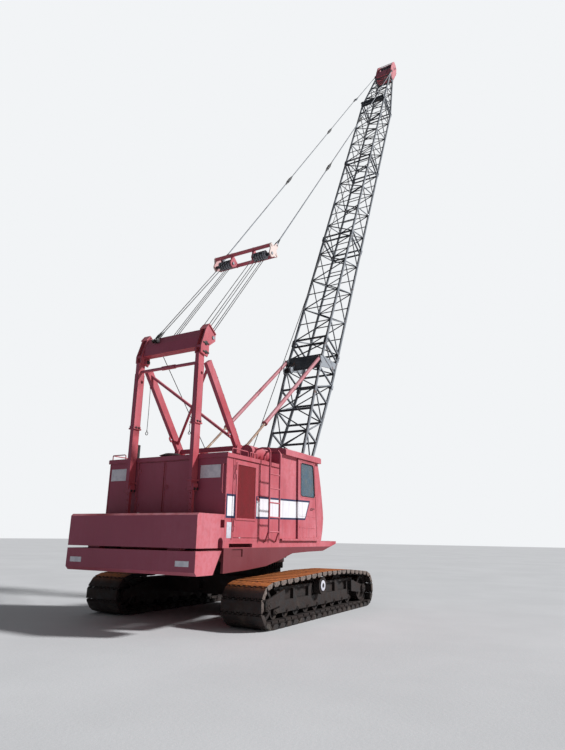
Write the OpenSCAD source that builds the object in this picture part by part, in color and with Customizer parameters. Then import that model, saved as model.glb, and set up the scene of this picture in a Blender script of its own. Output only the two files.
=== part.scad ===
// Crawler crane with a lattice boom, parked with its boom raised.
// X is the machine's right, Y is forward, Z is up, and the origin is on the ground
// under the centre of rotation. All sizes are in millimetres.

/* [Tracks] */
// Distance between the centre lines of the two tracks
track_gauge = 3530; // [3400:10:3800]
// Width of a track shoe
shoe_w = 885; // [760:5:940]
// Distance between the drive tumbler's axle and the front idler's axle
wheel_base = 4740; // [4500:10:5000]
// Radius from the tumbler's axle to the faces of the shoes
track_r = 413; // [400:1:440]
// Thickness of the track from shoe face to tread
track_t = 110; // [90:1:120]
// Number of shoes in one track
shoe_count = 46; // [40:1:52]
// Width of the seam between two shoes
seam_w = 26; // [10:1:40]
// Depth of the seam between two shoes
seam_d = 48; // [20:1:60]
// Height of the top run's shoe faces over the carrier wheel
carrier_top = 920; // [880:1:950]
// Place of the carrier wheel ahead of the centre of rotation
carrier_y = -85; // [-400:5:400]
// Radius of the carrier wheel
carrier_r = 180; // [120:1:190]
// Radius of a track roller
roller_r = 130; // [100:1:140]
// Number of track rollers on one side
roller_count = 9; // [7:1:10]
// Width of the side frame's beam
side_beam_w = 420; // [360:5:460]
// Width of the tumbler and the idler
wheel_w = 520; // [480:5:560]
// Radius of the tumbler's and the idler's axle
wheel_axle_r = 75; // [50:1:90]

/* [Carbody] */
// Length of the carbody's centre box along the machine
carbody_l = 1900; // [1700:10:2200]
// Width of the carbody's centre box
carbody_w = 1800; // [1600:10:2100]
// Height of the carbody's top above the ground
carbody_top = 930; // [900:5:960]
// Distance between the two cross axles
axle_spread = 1400; // [1200:10:1600]
// Outer radius of the slewing ring
ring_r = 900; // [800:5:980]
// Number of teeth on the slewing ring
ring_teeth = 72; // [48:1:96]

/* [Upper works] */
// Height of the slewing bearing's upper face
slew_z = 1066; // [1040:1:1100]
// Height of the deck
deck_z = 1549; // [1500:1:1600]
// Half the width of the house and deck
house_half_w = 1550; // [1450:5:1650]
// Distance of the house's rear wall behind the centre of rotation
house_rear = 3060; // [2900:10:3060]
// Distance of the house's front wall behind the centre of rotation
house_front = 1000; // [900:10:1040]
// Height of the house roof
roof_z = 3183; // [3100:1:3250]
// Distance of the deck's front edge ahead of the centre of rotation
deck_front = 1930; // [1800:10:2050]
// Thickness of the house's and the cab's panels
wall_t = 40; // [30:1:50]
// Thickness of the deck plate
deck_t = 48; // [30:1:60]
// Height above the ground of the skirt's lower edge at the rear
skirt_z = 980; // [960:5:1000]
// Overhang of the roof over the walls
roof_lip = 28; // [10:1:40]

/* [Counterweight] */
// Half the width of both counterweight blocks
weight_half_w = 1586; // [1500:1:1650]
// Distance of the counterweight's rear face behind the centre of rotation
weight_rear = 3930; // [3800:10:4050]
// Distance of the counterweight's front face behind the centre of rotation
weight_front = 3115; // [3105:1:3150]
// Height of the lower block's underside
weight_low_z = 972; // [960:1:1000]
// Height of the lower block
weight_low_h = 406; // [380:1:420]
// Gap between the two blocks
weight_gap = 46; // [30:1:60]
// Height of the upper block
weight_up_h = 599; // [560:1:620]

/* [Cab] */
// Distance of the cab's inner side from the centre line
cab_inner_x = 665; // [660:1:720]
// Height of the cab roof's top
cab_top = 3567; // [3500:1:3650]
// Height of the cab roof's deep lip
cab_lip_h = 150; // [100:5:200]
// Place of the door's rear edge
door_rear_y = -250; // [-265:5:-200]
// Width of the sliding door at its foot
door_w = 1010; // [950:5:1030]
// How far the door's front edge leans back at the top
door_slant = 140; // [80:5:160]
// Thickness of the sliding door
door_t = 38; // [30:1:45]

/* [Doors] */
// Half the width of the rear doorway
rear_door_half_w = 700; // [650:5:720]
// Height of the rear doors' lower edge
rear_door_z0 = 2060; // [2040:5:2100]
// Height of the rear doors' upper edge
rear_door_z1 = 3090; // [3000:5:3110]
// Place of the side doors' rear edge
side_door_y0 = -2785; // [-2850:5:-2750]
// Place of the side doors' front edge
side_door_y1 = -1865; // [-1900:5:-1850]
// Gap round each hinged door
door_gap = 8; // [6:0.5:9]

/* [Gantry] */
// Distance of the gantry's legs from the centre line
gantry_x = 820; // [790:5:850]
// Width of a gantry leg
leg_w = 90; // [80:1:100]
// Depth of a gantry leg
leg_d = 180; // [150:5:200]
// Height of the gantry head's sheave shaft
mast_z = 5700; // [5650:10:5750]
// Distance of the gantry head's sheave shaft behind the centre of rotation
mast_rear = 2850; // [2830:5:2855]
// Radius of the gantry and harness sheaves
sheave_r = 120; // [110:5:130]

/* [Boom] */
// Boom angle above the horizontal
boom_angle = 64.9; // [60:0.1:70]
// Place of the boom foot pin ahead of the centre of rotation
boom_foot_y = 1160; // [1100:5:1250]
// Height of the boom foot pin
boom_foot_z = 1650; // [1600:5:1700]
// Distance between the centre lines of the chords across the boom
boom_w = 1170; // [1100:5:1175]
// Distance between the centre lines of the chords from back to belly
boom_d = 970; // [900:5:1020]
// Length of the base section from the foot pin
base_l = 6540; // [6400:10:6700]
// Length of one insert
insert_l = 5650; // [5400:10:5900]
// Length of the tip section
tip_l = 3610; // [3400:10:3800]
// Distance from the foot pin to where the base section reaches its full depth
base_taper_l = 5300; // [5000:10:5500]
// Width between the chords at the boom head
tip_w = 800; // [760:5:840]
// Depth between the chords at the boom head
tip_d = 400; // [360:5:440]
// Radius of a chord tube
chord_r = 46; // [42:1:47]
// Radius of a lacing tube
lace_r = 22; // [18:1:24]
// Radius of a cross strut and of an end frame's tube
strut_r = 34; // [30:1:38]
// Panels in one insert
insert_panels = 7; // [6:1:9]
// Radius of the boom head's sheaves
head_sheave_r = 300; // [260:5:320]

/* [Luffing gear] */
// Distance from the gantry's sheave shaft to the harness along the lines
harness_at = 3900; // [3700:10:4200]
// Half the width of the harness
harness_half_w = 930; // [900:5:960]
// Radius of a luffing rope
rope_r = 8.5; // [7:0.5:9]
// Radius of a pendant
pendant_r = 17; // [14:1:20]
// Length of the pendant links fixed to the boom head
link_l = 4600; // [4400:10:4800]
// Distance of the boom stops from the centre line
stop_x = 585; // [580:1:586]
// Place of the boom stops' lower pins behind the centre of rotation
stop_rear = 1020; // [1000:5:1060]
// Height of the boom stops' lower pins
stop_z = 3620; // [3580:5:3660]
// Distance along the boom of the boom stops' upper eyes
stop_s = 5650; // [5560:10:5700]
// Distance of the boom stops' upper eyes from the boom's centre line
stop_n = 600; // [580:5:640]
// Radius of a stop's outer tube
stop_tube_r = 54; // [45:1:56]
// Radius of a stop's inner rod
stop_rod_r = 30; // [24:1:34]
// Length of a stop's outer tube
stop_tube_l = 4150; // [4100:10:4200]
// Length of a stop's inner rod
stop_rod_l = 4120; // [4080:10:4150]

/* [Hidden] */

// Colours of the photographed machine
red = "#B9504E";
dark_red = "#6E2A33";
slate = "#39434F";
track_black = "#2A2526";
steel = "#8A8A88";
glass_tint = "#7FA8C8";

// Clearances: a seat between flat faces, a turning fit and a moving gap
seat = 0.3;
turn_fit = 0.3;
rod_fit = 0.5;
clear = 8;

track_x = track_gauge / 2;
half_base = wheel_base / 2;
wheel_z = track_r;

// A block from its low corner to its high corner
module block(lo, hi) {
    translate(lo) cube(hi - lo);
}

// A plate whose outline lies in the Y-Z plane, from x0 to x1
module side_plate(x0, x1, outline) {
    translate([x0, 0, 0]) rotate([90, 0, 90]) linear_extrude(x1 - x0) polygon(outline);
}

// A round bar along X from x0 to x1 through the point [y, z]
module cross_bar(x0, x1, at, r, sides = 40) {
    translate([x0, at[0], at[1]]) rotate([0, 90, 0]) cylinder(h = x1 - x0, r = r, $fn = sides);
}

// A straight tube or bar from p to q, turned about itself by spin
module strut(p, q, r, sides = 8, spin = 0) {
    d = q - p;
    turn = atan2(d[1], d[0]);
    tilt = acos(d[2] / norm(d));
    translate(p) rotate([0, tilt, turn]) rotate([0, 0, spin]) cylinder(h = norm(d), r = r, $fn = sides);
}

// A square bar in the Y-Z plane from a to b, w wide along X and d deep
module leg_bar(x, w, a, b, d) {
    run = b - a;
    side = d / 2 * [-run[1], run[0]] / norm(run);
    side_plate(x - w / 2, x + w / 2, [a - side, b - side, b + side, a + side]);
}

// The same thing on the right and mirrored on the left
module both_sides() {
    children();
    mirror([1, 0, 0]) children();
}

// TRACK PATH: a loop in the Y-Z plane, run anticlockwise from the rear of the ground run.
skid_y = 1200;
skid_top = 915;
top_run = [
    [half_base, 2 * track_r],
    [skid_y, skid_top],
    [carrier_y, carrier_top],
    [-half_base, 2 * track_r],
];
arc_l = PI * track_r;
run_l = [for (i = [0:2]) norm(top_run[i + 1] - top_run[i])];
// Distance along the loop at which each of its six stretches starts
starts = [
    0,
    wheel_base,
    wheel_base + arc_l,
    wheel_base + arc_l + run_l[0],
    wheel_base + arc_l + run_l[0] + run_l[1],
    wheel_base + arc_l + run_l[0] + run_l[1] + run_l[2],
];
loop_l = starts[5] + arc_l;

function along(p, q, d, inset) =
    let (u = (q - p) / norm(q - p))
    p + u * d + inset * [-u[1], u[0]];

function round_end(y, angle, inset) =
    [y, wheel_z] + (track_r - inset) * [cos(angle), sin(angle)];

// Point of the loop at distance d, moved inwards by inset
function loop_point(d, inset) =
    let (m = (d + loop_l) % loop_l)
    m < starts[1] ? [m - half_base, inset]
    : m < starts[2] ? round_end(half_base, -90 + 180 * (m - starts[1]) / arc_l, inset)
    : m < starts[3] ? along(top_run[0], top_run[1], m - starts[2], inset)
    : m < starts[4] ? along(top_run[1], top_run[2], m - starts[3], inset)
    : m < starts[5] ? along(top_run[2], top_run[3], m - starts[4], inset)
    : round_end(-half_base, 90 + 180 * (m - starts[5]) / arc_l, inset);

pitch = loop_l / shoe_count;
half_shoe = (pitch - seam_w) / 2;

// Outline of all shoes: a flat face and the step down into the seam after it
function shoe_outline() = [
    for (k = [0:shoe_count - 1], corner = [[-half_shoe, 0], [half_shoe, 0],
        [half_shoe, seam_d], [pitch - half_shoe, seam_d]])
        loop_point((k + 0.5) * pitch + corner[0], corner[1])
];

function tread_outline() = [
    for (k = [0:shoe_count - 1], corner = [-half_shoe, half_shoe])
        loop_point((k + 0.5) * pitch + corner, track_t)
];

module track() {
    color(track_black)
    translate([track_x, 0, 0])
    difference() {
        side_plate(-shoe_w / 2, shoe_w / 2, shoe_outline());
        side_plate(-shoe_w, shoe_w, tread_outline());
    }
}

// Free radius inside the flat treads as they bend round the ends
tread_r = (track_r - track_t) * cos(half_shoe / track_r * 180 / PI) - clear;
beam_z = [390, 690];
beam_end = half_base - 440;
roller_z = track_t + roller_r + seat;
roller_half_w = side_beam_w / 2 - 36;
roller_y = 1800;
// Flat treads cut the corner where the top run bends over the skid
tread_sag = 12;
yoke_t = 34;
yoke_x = wheel_w / 2 + clear;

module yoke(end) {
    y = end * half_base;
    for (s = [-1, 1])
        difference() {
            side_plate(
                s > 0 ? yoke_x : -yoke_x - yoke_t,
                s > 0 ? yoke_x + yoke_t : -yoke_x,
                [
                    [end * (beam_end - 260), beam_z[0]],
                    [y - end * 60, wheel_z - 95],
                    [y + end * 90, wheel_z - 95],
                    [y + end * 130, wheel_z],
                    [y + end * 90, wheel_z + 95],
                    [y - end * 60, wheel_z + 95],
                    [end * (beam_end - 260), beam_z[1] - 40],
                ]
            );
            cross_bar(-shoe_w, shoe_w, [y, wheel_z], wheel_axle_r + turn_fit);
        }
    // Spacer that carries the two yoke plates on the end of the beam
    block(
        [-yoke_x - 1, end > 0 ? beam_end - 250 : -beam_end, beam_z[0] + 60],
        [yoke_x + 1, end > 0 ? beam_end : -beam_end + 250, beam_z[1] - 60]
    );
}

module side_frame() {
    color(track_black)
    translate([track_x, 0, 0])
    difference() {
        union() {
            block(
                [-side_beam_w / 2, -beam_end, beam_z[0]],
                [side_beam_w / 2, beam_end, beam_z[1]]
            );
            for (end = [-1, 1]) yoke(end);
            // Guard plates that carry the track rollers
            for (s = [-1, 1])
                block(
                    [s > 0 ? side_beam_w / 2 - 34 : -side_beam_w / 2, -beam_end, 215],
                    [s > 0 ? side_beam_w / 2 : -side_beam_w / 2 + 34, beam_end - 200, beam_z[0] + 1]
                );
            // Skid that carries the top run ahead of the carrier wheel
            side_plate(-130, 130, [
                [skid_y - 300, beam_z[1] - 1],
                [skid_y - 160, skid_top - track_t - tread_sag],
                [skid_y + 60, skid_top - track_t - tread_sag],
                [skid_y + 300, beam_z[1] - 1],
            ]);
        }
        // Recessed panels between the beam's ribs
        for (i = [0:4])
            block(
                [side_beam_w / 2 - 60, -beam_end + 260 + i * 680, beam_z[0] + 50],
                [side_beam_w, -beam_end + 260 + i * 680 + 520, beam_z[1] - 50]
            );
        cross_bar(-shoe_w, shoe_w, [carrier_y, carrier_z], carrier_pin_r + turn_fit);
    }
}

// The flat tread over the wheel lies this far below the corner of the run
carrier_sag = 2.5;
carrier_z = carrier_top - track_t - carrier_r - carrier_sag - seat;
carrier_pin_r = 40;

module carrier_wheels() {
    color(track_black)
    both_sides()
    translate([track_x, 0, 0]) {
        cross_bar(-side_beam_w / 2 - 170, side_beam_w / 2 + 170, [carrier_y, carrier_z], carrier_pin_r);
        for (s = [-1, 1])
            translate([s * (side_beam_w / 2 + 90), carrier_y, carrier_z]) rotate([0, 90, 0])
            rotate_extrude($fn = 48) polygon([
                [carrier_pin_r - 1, -75], [70, -75], [80, -45], [120, -45], [135, -70],
                [carrier_r, -70], [carrier_r, 70], [135, 70], [120, 45], [80, 45], [70, 75],
                [carrier_pin_r - 1, 75],
            ]);
    }
}

module track_rollers() {
    color(track_black)
    both_sides()
    for (i = [0:roller_count - 1])
        translate([track_x, -roller_y + 2 * roller_y * i / (roller_count - 1) - 60, roller_z])
        rotate([0, 90, 0])
        rotate_extrude($fn = 36) polygon([
            [0, -roller_half_w], [60, -roller_half_w], [60, -roller_half_w + 14],
            [roller_r, -roller_half_w + 14], [roller_r, -60], [roller_r - 40, -40],
            [roller_r - 40, 40], [roller_r, 60], [roller_r, roller_half_w - 14],
            [60, roller_half_w - 14], [60, roller_half_w], [0, roller_half_w],
        ]);
}

// Turned profile of an end wheel: rim, dished web and hub
module end_wheel(y, rim_r, hub_r) {
    translate([track_x, y, wheel_z]) {
        rotate([0, 90, 0])
        rotate_extrude($fn = 64) polygon([
            [0, -wheel_w / 2], [hub_r, -wheel_w / 2], [hub_r, -wheel_w / 2 + 90],
            [rim_r - 55, -wheel_w / 2 + 90], [rim_r - 55, -wheel_w / 2 + 10],
            [rim_r, -wheel_w / 2 + 10], [rim_r, wheel_w / 2 - 10],
            [rim_r - 55, wheel_w / 2 - 10], [rim_r - 55, wheel_w / 2 - 90],
            [hub_r, wheel_w / 2 - 90], [hub_r, wheel_w / 2], [0, wheel_w / 2],
        ]);
        // Axle through the yokes, with a cap at each end
        cross_bar(-yoke_x - yoke_t - 40, yoke_x + yoke_t + 40, [0, 0], wheel_axle_r);
        for (s = [-1, 1])
            cross_bar(
                s > 0 ? yoke_x + yoke_t + seat : -yoke_x - yoke_t - 40,
                s > 0 ? yoke_x + yoke_t + 40 : -yoke_x - yoke_t - seat,
                [0, 0], wheel_axle_r + 30
            );
    }
}

module drive_tumblers() {
    color(track_black) both_sides() end_wheel(-half_base, tread_r, 120);
}

module front_idlers() {
    color(track_black) both_sides() end_wheel(half_base, tread_r, 100);
}

axle_z = [380, 690];
axle_w = 420;

module carbody() {
    color(track_black)
    difference() {
        union() {
            block(
                [-carbody_w / 2, -carbody_l / 2, axle_z[0] + 60],
                [carbody_w / 2, carbody_l / 2, axle_z[1] + 100]
            );
            translate([0, 0, axle_z[1]]) cylinder(h = carbody_top - axle_z[1], r = ring_r - 20, $fn = 72);
            for (s = [-1, 1])
                block(
                    [-track_x + side_beam_w / 2 + seat, s * axle_spread / 2 - axle_w / 2, axle_z[0]],
                    [track_x - side_beam_w / 2 - seat, s * axle_spread / 2 + axle_w / 2, axle_z[1]]
                );
            // Tie-down lugs on the front and rear of the carbody
            for (end = [-1, 1], s = [-1, 1])
                block(
                    [s * 500 - 25, end > 0 ? carbody_l / 2 - 1 : -carbody_l / 2 - 140, 480],
                    [s * 500 + 25, end > 0 ? carbody_l / 2 + 140 : -carbody_l / 2 + 1, 640]
                );
        }
        for (end = [-1, 1])
            cross_bar(-600, 600, [end * (carbody_l / 2 + 75), 560], tie_hole_r, 48);
    }
}

tie_hole_r = 32;
ring_t = slew_z - carbody_top - 2 * seat;
tooth_h = 34;
tooth_deg = 360 / ring_teeth;

module slew_ring() {
    color(track_black)
    translate([0, 0, carbody_top + seat])
    difference() {
        linear_extrude(ring_t)
        polygon([
            for (i = [0:ring_teeth - 1], c = [[-0.3, 0], [-0.16, 1], [0.16, 1], [0.3, 0]])
                (ring_r + tooth_h * c[1]) * [cos((i + c[0]) * tooth_deg), sin((i + c[0]) * tooth_deg)]
        ]);
        translate([0, 0, -1]) cylinder(h = ring_t + 2, r = ring_r - 160, $fn = 72);
    }
}

// UPPER WORKS
sill_x = [520, 640];
sill_z0 = slew_z + 70;
sill_end = 1300;
floor_end = 1000;
lug_t = 24;
foot_w = 96;
foot_pin_r = 50;
foot_gap = 5;
foot_pin_l = foot_w + 2 * foot_gap + 2 * lug_t + 4;
lug_out = boom_w / 2 + foot_w / 2 + foot_gap + lug_t;

module revolving_frame() {
    color(dark_red)
    difference() {
        union() {
            translate([0, 0, slew_z + seat]) cylinder(h = sill_z0 - slew_z + 30, r = ring_r + 60, $fn = 72);
            for (s = [-1, 1])
                side_plate(s > 0 ? sill_x[0] : -sill_x[1], s > 0 ? sill_x[1] : -sill_x[0], [
                    [-weight_front + seat, sill_z0], [sill_end - 400, sill_z0], [sill_end, deck_z - 200],
                    [sill_end, deck_z - deck_t - 22], [sill_end - 75, deck_z - deck_t],
                    [-weight_front + seat, deck_z - deck_t],
                ]);
            // Cross members: where each starts, and its length
            for (c = [[-3000, 160], [-1900, 140], [-950, 140], [700, 140]])
                block(
                    [-sill_x[0] - 1, c[0], deck_z - 300],
                    [sill_x[0] + 1, c[0] + c[1], deck_z - deck_t]
                );
            // Outriggers that carry the side decks
            for (c = [-2900, -1800, -700, 400], s = [-1, 1])
                block(
                    [s > 0 ? sill_x[1] - 1 : -house_half_w + 60 + seat, c, deck_z - 200],
                    [s > 0 ? house_half_w - 60 - seat : -sill_x[1] + 1, c + 90, deck_z - deck_t - seat]
                );
            // Floor plate between the decks
            block([-sill_x[1], -house_rear, deck_z - deck_t - 1], [sill_x[1], floor_end, deck_z]);
            // Tube between the boom foot lugs
            cross_bar(-sill_x[0] - 1, sill_x[0] + 1, [sill_end - 120, deck_z - 180], 70, 36);
            // Lugs that hold the boom foot pins
            for (s = [-1, 1], t = [-1, 1])
                translate([s * boom_w / 2 + t * (foot_w / 2 + foot_gap + lug_t / 2) - lug_t / 2, 0, 0])
                side_plate(0, lug_t, [
                    [boom_foot_y - 190, deck_z - 120], [sill_end, deck_z - 120],
                    [boom_foot_y + 85, boom_foot_z + 95], [boom_foot_y - 85, boom_foot_z + 95],
                ]);
            // Pedestals of the hoist drums
            for (s = [-1, 1], y = [drum_front_y, drum_rear_y])
                side_plate(s * drum_bearing_x - 45, s * drum_bearing_x + 45, [
                    [y - 260, deck_z - 1], [y + 260, deck_z - 1],
                    [y + 110, drum_z + 110], [y - 110, drum_z + 110],
                ]);
        }
        translate([0, 0, slew_z - 1]) cylinder(h = deck_z, r = ring_r - 320, $fn = 72);
        for (s = [-1, 1])
            translate([s * boom_w / 2, 0, 0])
            cross_bar(-200, 200, [boom_foot_y, boom_foot_z], foot_pin_r + turn_fit);
        for (y = [drum_front_y, drum_rear_y])
            cross_bar(-600, 600, [y, drum_z], drum_shaft_r + turn_fit);
    }
}

// Side view of a deck's skirt: its lower edge steps down towards the rear
function deck_edge() = [
    [-house_rear, skirt_z], [-2300, skirt_z + 30], [-1550, skirt_z + 80], [-990, skirt_z + 180],
    [-410, deck_z - 260], [310, deck_z - 238], [1140, deck_z - 228], [deck_front, deck_z - 60],
    [deck_front, deck_z], [-house_rear, deck_z],
];
skirt_t = 55;

module deck() {
    color(red)
    difference() {
        union() {
            block([sill_x[1] + seat, -house_rear, deck_z - deck_t], [house_half_w, deck_front, deck_z]);
            side_plate(house_half_w - skirt_t, house_half_w, deck_edge());
            side_plate(sill_x[1] + 80, sill_x[1] + 120, [
                [1300, deck_z - 120], [deck_front, deck_z - 70], [deck_front, deck_z - 1], [1300, deck_z - 1],
            ]);
        }
        // Long hand slot through the skirt, and a square recess under it
        block([house_half_w - 200, -2900, deck_z - 119], [house_half_w + 10, -2100, deck_z - deck_t - 1]);
        block([house_half_w - 22, -2790, deck_z - 289], [house_half_w + 10, -2430, deck_z - 149]);
        // Notch round the outer lug of the boom foot
        block(
            [sill_x[1] - 10, boom_foot_y - 200, deck_z - deck_t - 1],
            [lug_out + 6, sill_end + 10, deck_z + 1]
        );
    }
}

module counterweight_lower() {
    top = weight_low_z + weight_low_h;
    color(red) {
        side_plate(-weight_half_w, weight_half_w, [
            [-weight_rear, weight_low_z + 60], [-weight_rear + 60, weight_low_z],
            [-weight_front - 300, weight_low_z], [-weight_front - 60, top], [-weight_rear, top],
        ]);
        // Pads that carry the upper block
        for (s = [-1, 1], y = [-weight_rear + 120, -weight_front - 260])
            block([s * 1000 - 150, y, top - 1], [s * 1000 + 150, y + 140, top + weight_gap - seat]);
    }
}

module counterweight_upper() {
    z0 = weight_low_z + weight_low_h + weight_gap;
    color(red)
    difference() {
        side_plate(-weight_half_w, weight_half_w, [
            [-weight_rear, z0], [-weight_front, z0], [-weight_front, z0 + weight_up_h],
            [-weight_rear + 40, z0 + weight_up_h], [-weight_rear, z0 + weight_up_h - 40],
        ]);
        // Square notch and arched notch in each side near the front edge
        for (s = [-1, 1]) {
            block(
                [s * weight_half_w - 220, -weight_front - 130, z0 + 360],
                [s * weight_half_w + 220, -weight_front + 10, z0 + 500]
            );
            cross_bar(s * weight_half_w - 220, s * weight_half_w + 220, [-weight_front - 110, z0 + 110], 75);
            block(
                [s * weight_half_w - 220, -weight_front - 185, z0 - 10],
                [s * weight_half_w + 220, -weight_front - 35, z0 + 110]
            );
        }
    }
}

wall_z0 = deck_z + seat;
wall_z1 = roof_z - wall_t - seat;
side_door_z = [deck_z + 55, 3100];

module house_wall_side() {
    color(red)
    difference() {
        union() {
            block([house_half_w - wall_t, -house_rear, wall_z0], [house_half_w, -house_front, wall_z1]);
            side_door_knuckles(false);
            for (z = side_hinge_z, s = [-1, 1])
                translate([0, 0, z + s * (knuckle_h + seat)])
                block(
                    [house_half_w - 1, side_hinge[1] - 50, -knuckle_h / 2],
                    [house_half_w + 10, side_hinge[1], knuckle_h / 2]
                );
        }
        block(
            [house_half_w - wall_t - 1, side_door_y0, side_door_z[0]],
            [house_half_w + 1, side_door_y1, side_door_z[1]]
        );
    }
}

knuckle_r = 11;
knuckle_h = 90;
hinge_off = knuckle_r + 1;

// Hinge barrels on one vertical line: the fixed ones stand at the ends of each group of three
module knuckles(x, y, z_list, moving) {
    for (z = z_list) {
        if (moving)
            translate([x, y, z - knuckle_h / 2]) cylinder(h = knuckle_h, r = knuckle_r, $fn = 24);
        else
            for (s = [-1, 1])
                translate([x, y, z + s * (knuckle_h + seat) - knuckle_h / 2])
                cylinder(h = knuckle_h, r = knuckle_r, $fn = 24);
    }
}

side_hinge = [house_half_w + hinge_off, side_door_y0 - 4];
side_hinge_z = [side_door_z[0] + 260, side_door_z[1] - 260];

module side_door_knuckles(moving) {
    knuckles(side_hinge[0], side_hinge[1], side_hinge_z, moving);
}

// Hinged side door with a framed opening full of upright slanted blades
louvre_y = [-2700, -2055];
louvre_z = [1975, 2995];
blade_count = 18;

module side_door() {
    color(red)
    difference() {
        union() {
            block(
                [house_half_w - wall_t, side_door_y0 + door_gap, side_door_z[0] + door_gap],
                [house_half_w, side_door_y1 - door_gap, side_door_z[1] - door_gap]
            );
            block(
                [house_half_w - 1, louvre_y[0] - 40, louvre_z[0] - 40],
                [house_half_w + 14, louvre_y[1] + 40, louvre_z[1] + 40]
            );
            side_door_knuckles(true);
            // Leaf of the hinge between barrel and door
            for (z = side_hinge_z)
                block(
                    [house_half_w - 1, side_door_y0 + door_gap, z - knuckle_h / 2],
                    [house_half_w + 2, side_door_y0 + 60, z + knuckle_h / 2]
                );
            for (z = side_hinge_z)
                block(
                    [house_half_w + 1, side_door_y0 - 2, z - knuckle_h / 2],
                    [house_half_w + 10, side_door_y0 + 60, z + knuckle_h / 2]
                );
        }
        block(
            [house_half_w - wall_t - 1, louvre_y[0], louvre_z[0]],
            [house_half_w + 20, louvre_y[1], louvre_z[1]]
        );
    }
    color(dark_red)
    for (i = [0:blade_count - 1]) {
        y = louvre_y[0] + (i + 0.5) * (louvre_y[1] - louvre_y[0]) / blade_count;
        translate([house_half_w - 14, y, louvre_z[0] - 1])
        rotate([0, 0, 42])
        translate([-27, -3, 0])
        cube([54, 6, louvre_z[1] - louvre_z[0] + 2]);
    }
}

rear_hinge = [rear_door_half_w + 6, -house_rear - hinge_off];
rear_hinge_z = [rear_door_z0 + 180, rear_door_z1 - 180];

module house_wall_rear() {
    color(red)
    difference() {
        union() {
            block(
                [-house_half_w + wall_t + seat, -house_rear, wall_z0],
                [house_half_w - wall_t - seat, -house_rear + wall_t, wall_z1]
            );
            both_sides() {
                knuckles(rear_hinge[0], rear_hinge[1], rear_hinge_z, false);
                for (z = rear_hinge_z, s = [-1, 1])
                    translate([0, 0, z + s * (knuckle_h + seat)])
                    block(
                        [rear_hinge[0], -house_rear - 10, -knuckle_h / 2],
                        [rear_hinge[0] + 50, -house_rear + 1, knuckle_h / 2]
                    );
            }
        }
        block(
            [-rear_door_half_w, -house_rear - 1, rear_door_z0],
            [rear_door_half_w, -house_rear + wall_t + 1, rear_door_z1]
        );
    }
}

module rear_door() {
    color(red) {
        block(
            [door_gap, -house_rear, rear_door_z0 + door_gap],
            [rear_door_half_w - door_gap, -house_rear + wall_t, rear_door_z1 - door_gap]
        );
        knuckles(rear_hinge[0], rear_hinge[1], rear_hinge_z, true);
        for (z = rear_hinge_z) {
            block(
                [rear_door_half_w - 70, -house_rear - 10, z - knuckle_h / 2],
                [rear_door_half_w - door_gap, -house_rear + 1, z + knuckle_h / 2]
            );
            block(
                [rear_door_half_w - 70, -house_rear - 10, z - knuckle_h / 2],
                [rear_door_half_w + 4, -house_rear - 1, z + knuckle_h / 2]
            );
        }
    }
}

front_gap_x = [-1100, 560];
front_gap_top = 420;

module house_wall_front() {
    color(red)
    difference() {
        block(
            [-house_half_w + wall_t + seat, -house_front - wall_t, wall_z0],
            [house_half_w - wall_t - seat, -house_front, wall_z1]
        );
        block(
            [front_gap_x[0], -house_front - wall_t - 1, deck_z - 1],
            [front_gap_x[1], -house_front + 1, roof_z - front_gap_top]
        );
    }
}

module house_roof() {
    color(red)
    difference() {
        union() {
            block(
                [-house_half_w - roof_lip, -house_rear - roof_lip, roof_z - wall_t],
                [house_half_w + roof_lip, -house_front, roof_z]
            );
            // Lip that hangs over the tops of the walls
            both_sides()
                block(
                    [house_half_w + clear, -house_rear - roof_lip, roof_z - 80],
                    [house_half_w + roof_lip, -house_front, roof_z - 1]
                );
            block(
                [-house_half_w - roof_lip, -house_rear - roof_lip, roof_z - 80],
                [house_half_w + roof_lip, -house_rear - clear, roof_z - 1]
            );
            // Brackets for the lower pins of the boom stops: inner and outer plate of each
            for (s = [-1, 1], x = [[-68, -38], [38, 58]])
                side_plate(
                    min(s * (stop_x + x[0]), s * (stop_x + x[1])),
                    max(s * (stop_x + x[0]), s * (stop_x + x[1])),
                    [
                        [-stop_rear - 190, roof_z - 1], [-stop_rear + 60, roof_z - 1],
                        [-stop_rear + 60, stop_z + 20], [-stop_rear - 70, stop_z + 60],
                    ]
                );
        }
        cross_bar(-700, 700, [-stop_rear, stop_z], stop_hole_r);
        // Notches round the gantry posts
        for (s = [-1, 1])
            block(
                [s * gantry_x - leg_w / 2 - clear, -house_rear - 200, roof_z - 100],
                [s * gantry_x + leg_w / 2 + clear, -house_rear - clear, roof_z + 10]
            );
    }
}

module engine_block() {
    color(steel)
    block([-420, -2750, deck_z + seat], [420, -1520, deck_z + 1100]);
}

// Hoist drums: flanged barrels on shafts across the machine
drum_z = deck_z + 420;
drum_front_y = -340;
drum_rear_y = -1150;
drum_r = 190;
drum_flange_r = 320;
drum_half_w = 330;
drum_shaft_r = 55;
drum_bearing_x = drum_half_w + 45 + clear;

module hoist_drum(y) {
    color(steel)
    translate([0, y, drum_z]) rotate([0, 90, 0])
    rotate_extrude($fn = 64) polygon([
        [0, -drum_half_w - 110], [drum_shaft_r, -drum_half_w - 110], [drum_shaft_r, -drum_half_w],
        [drum_flange_r, -drum_half_w], [drum_flange_r, -drum_half_w + 34],
        [drum_r, -drum_half_w + 60], [drum_r, drum_half_w - 60], [drum_flange_r, drum_half_w - 34],
        [drum_flange_r, drum_half_w], [drum_shaft_r, drum_half_w],
        [drum_shaft_r, drum_half_w + 110], [0, drum_half_w + 110],
    ]);
}

// CAB: a shell with a forward-bulging front
cab_rear_y = -house_front + seat;
cab_z0 = deck_z + seat;
cab_z1 = cab_top - cab_lip_h + 20;
cab_x = [cab_inner_x, house_half_w];

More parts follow.
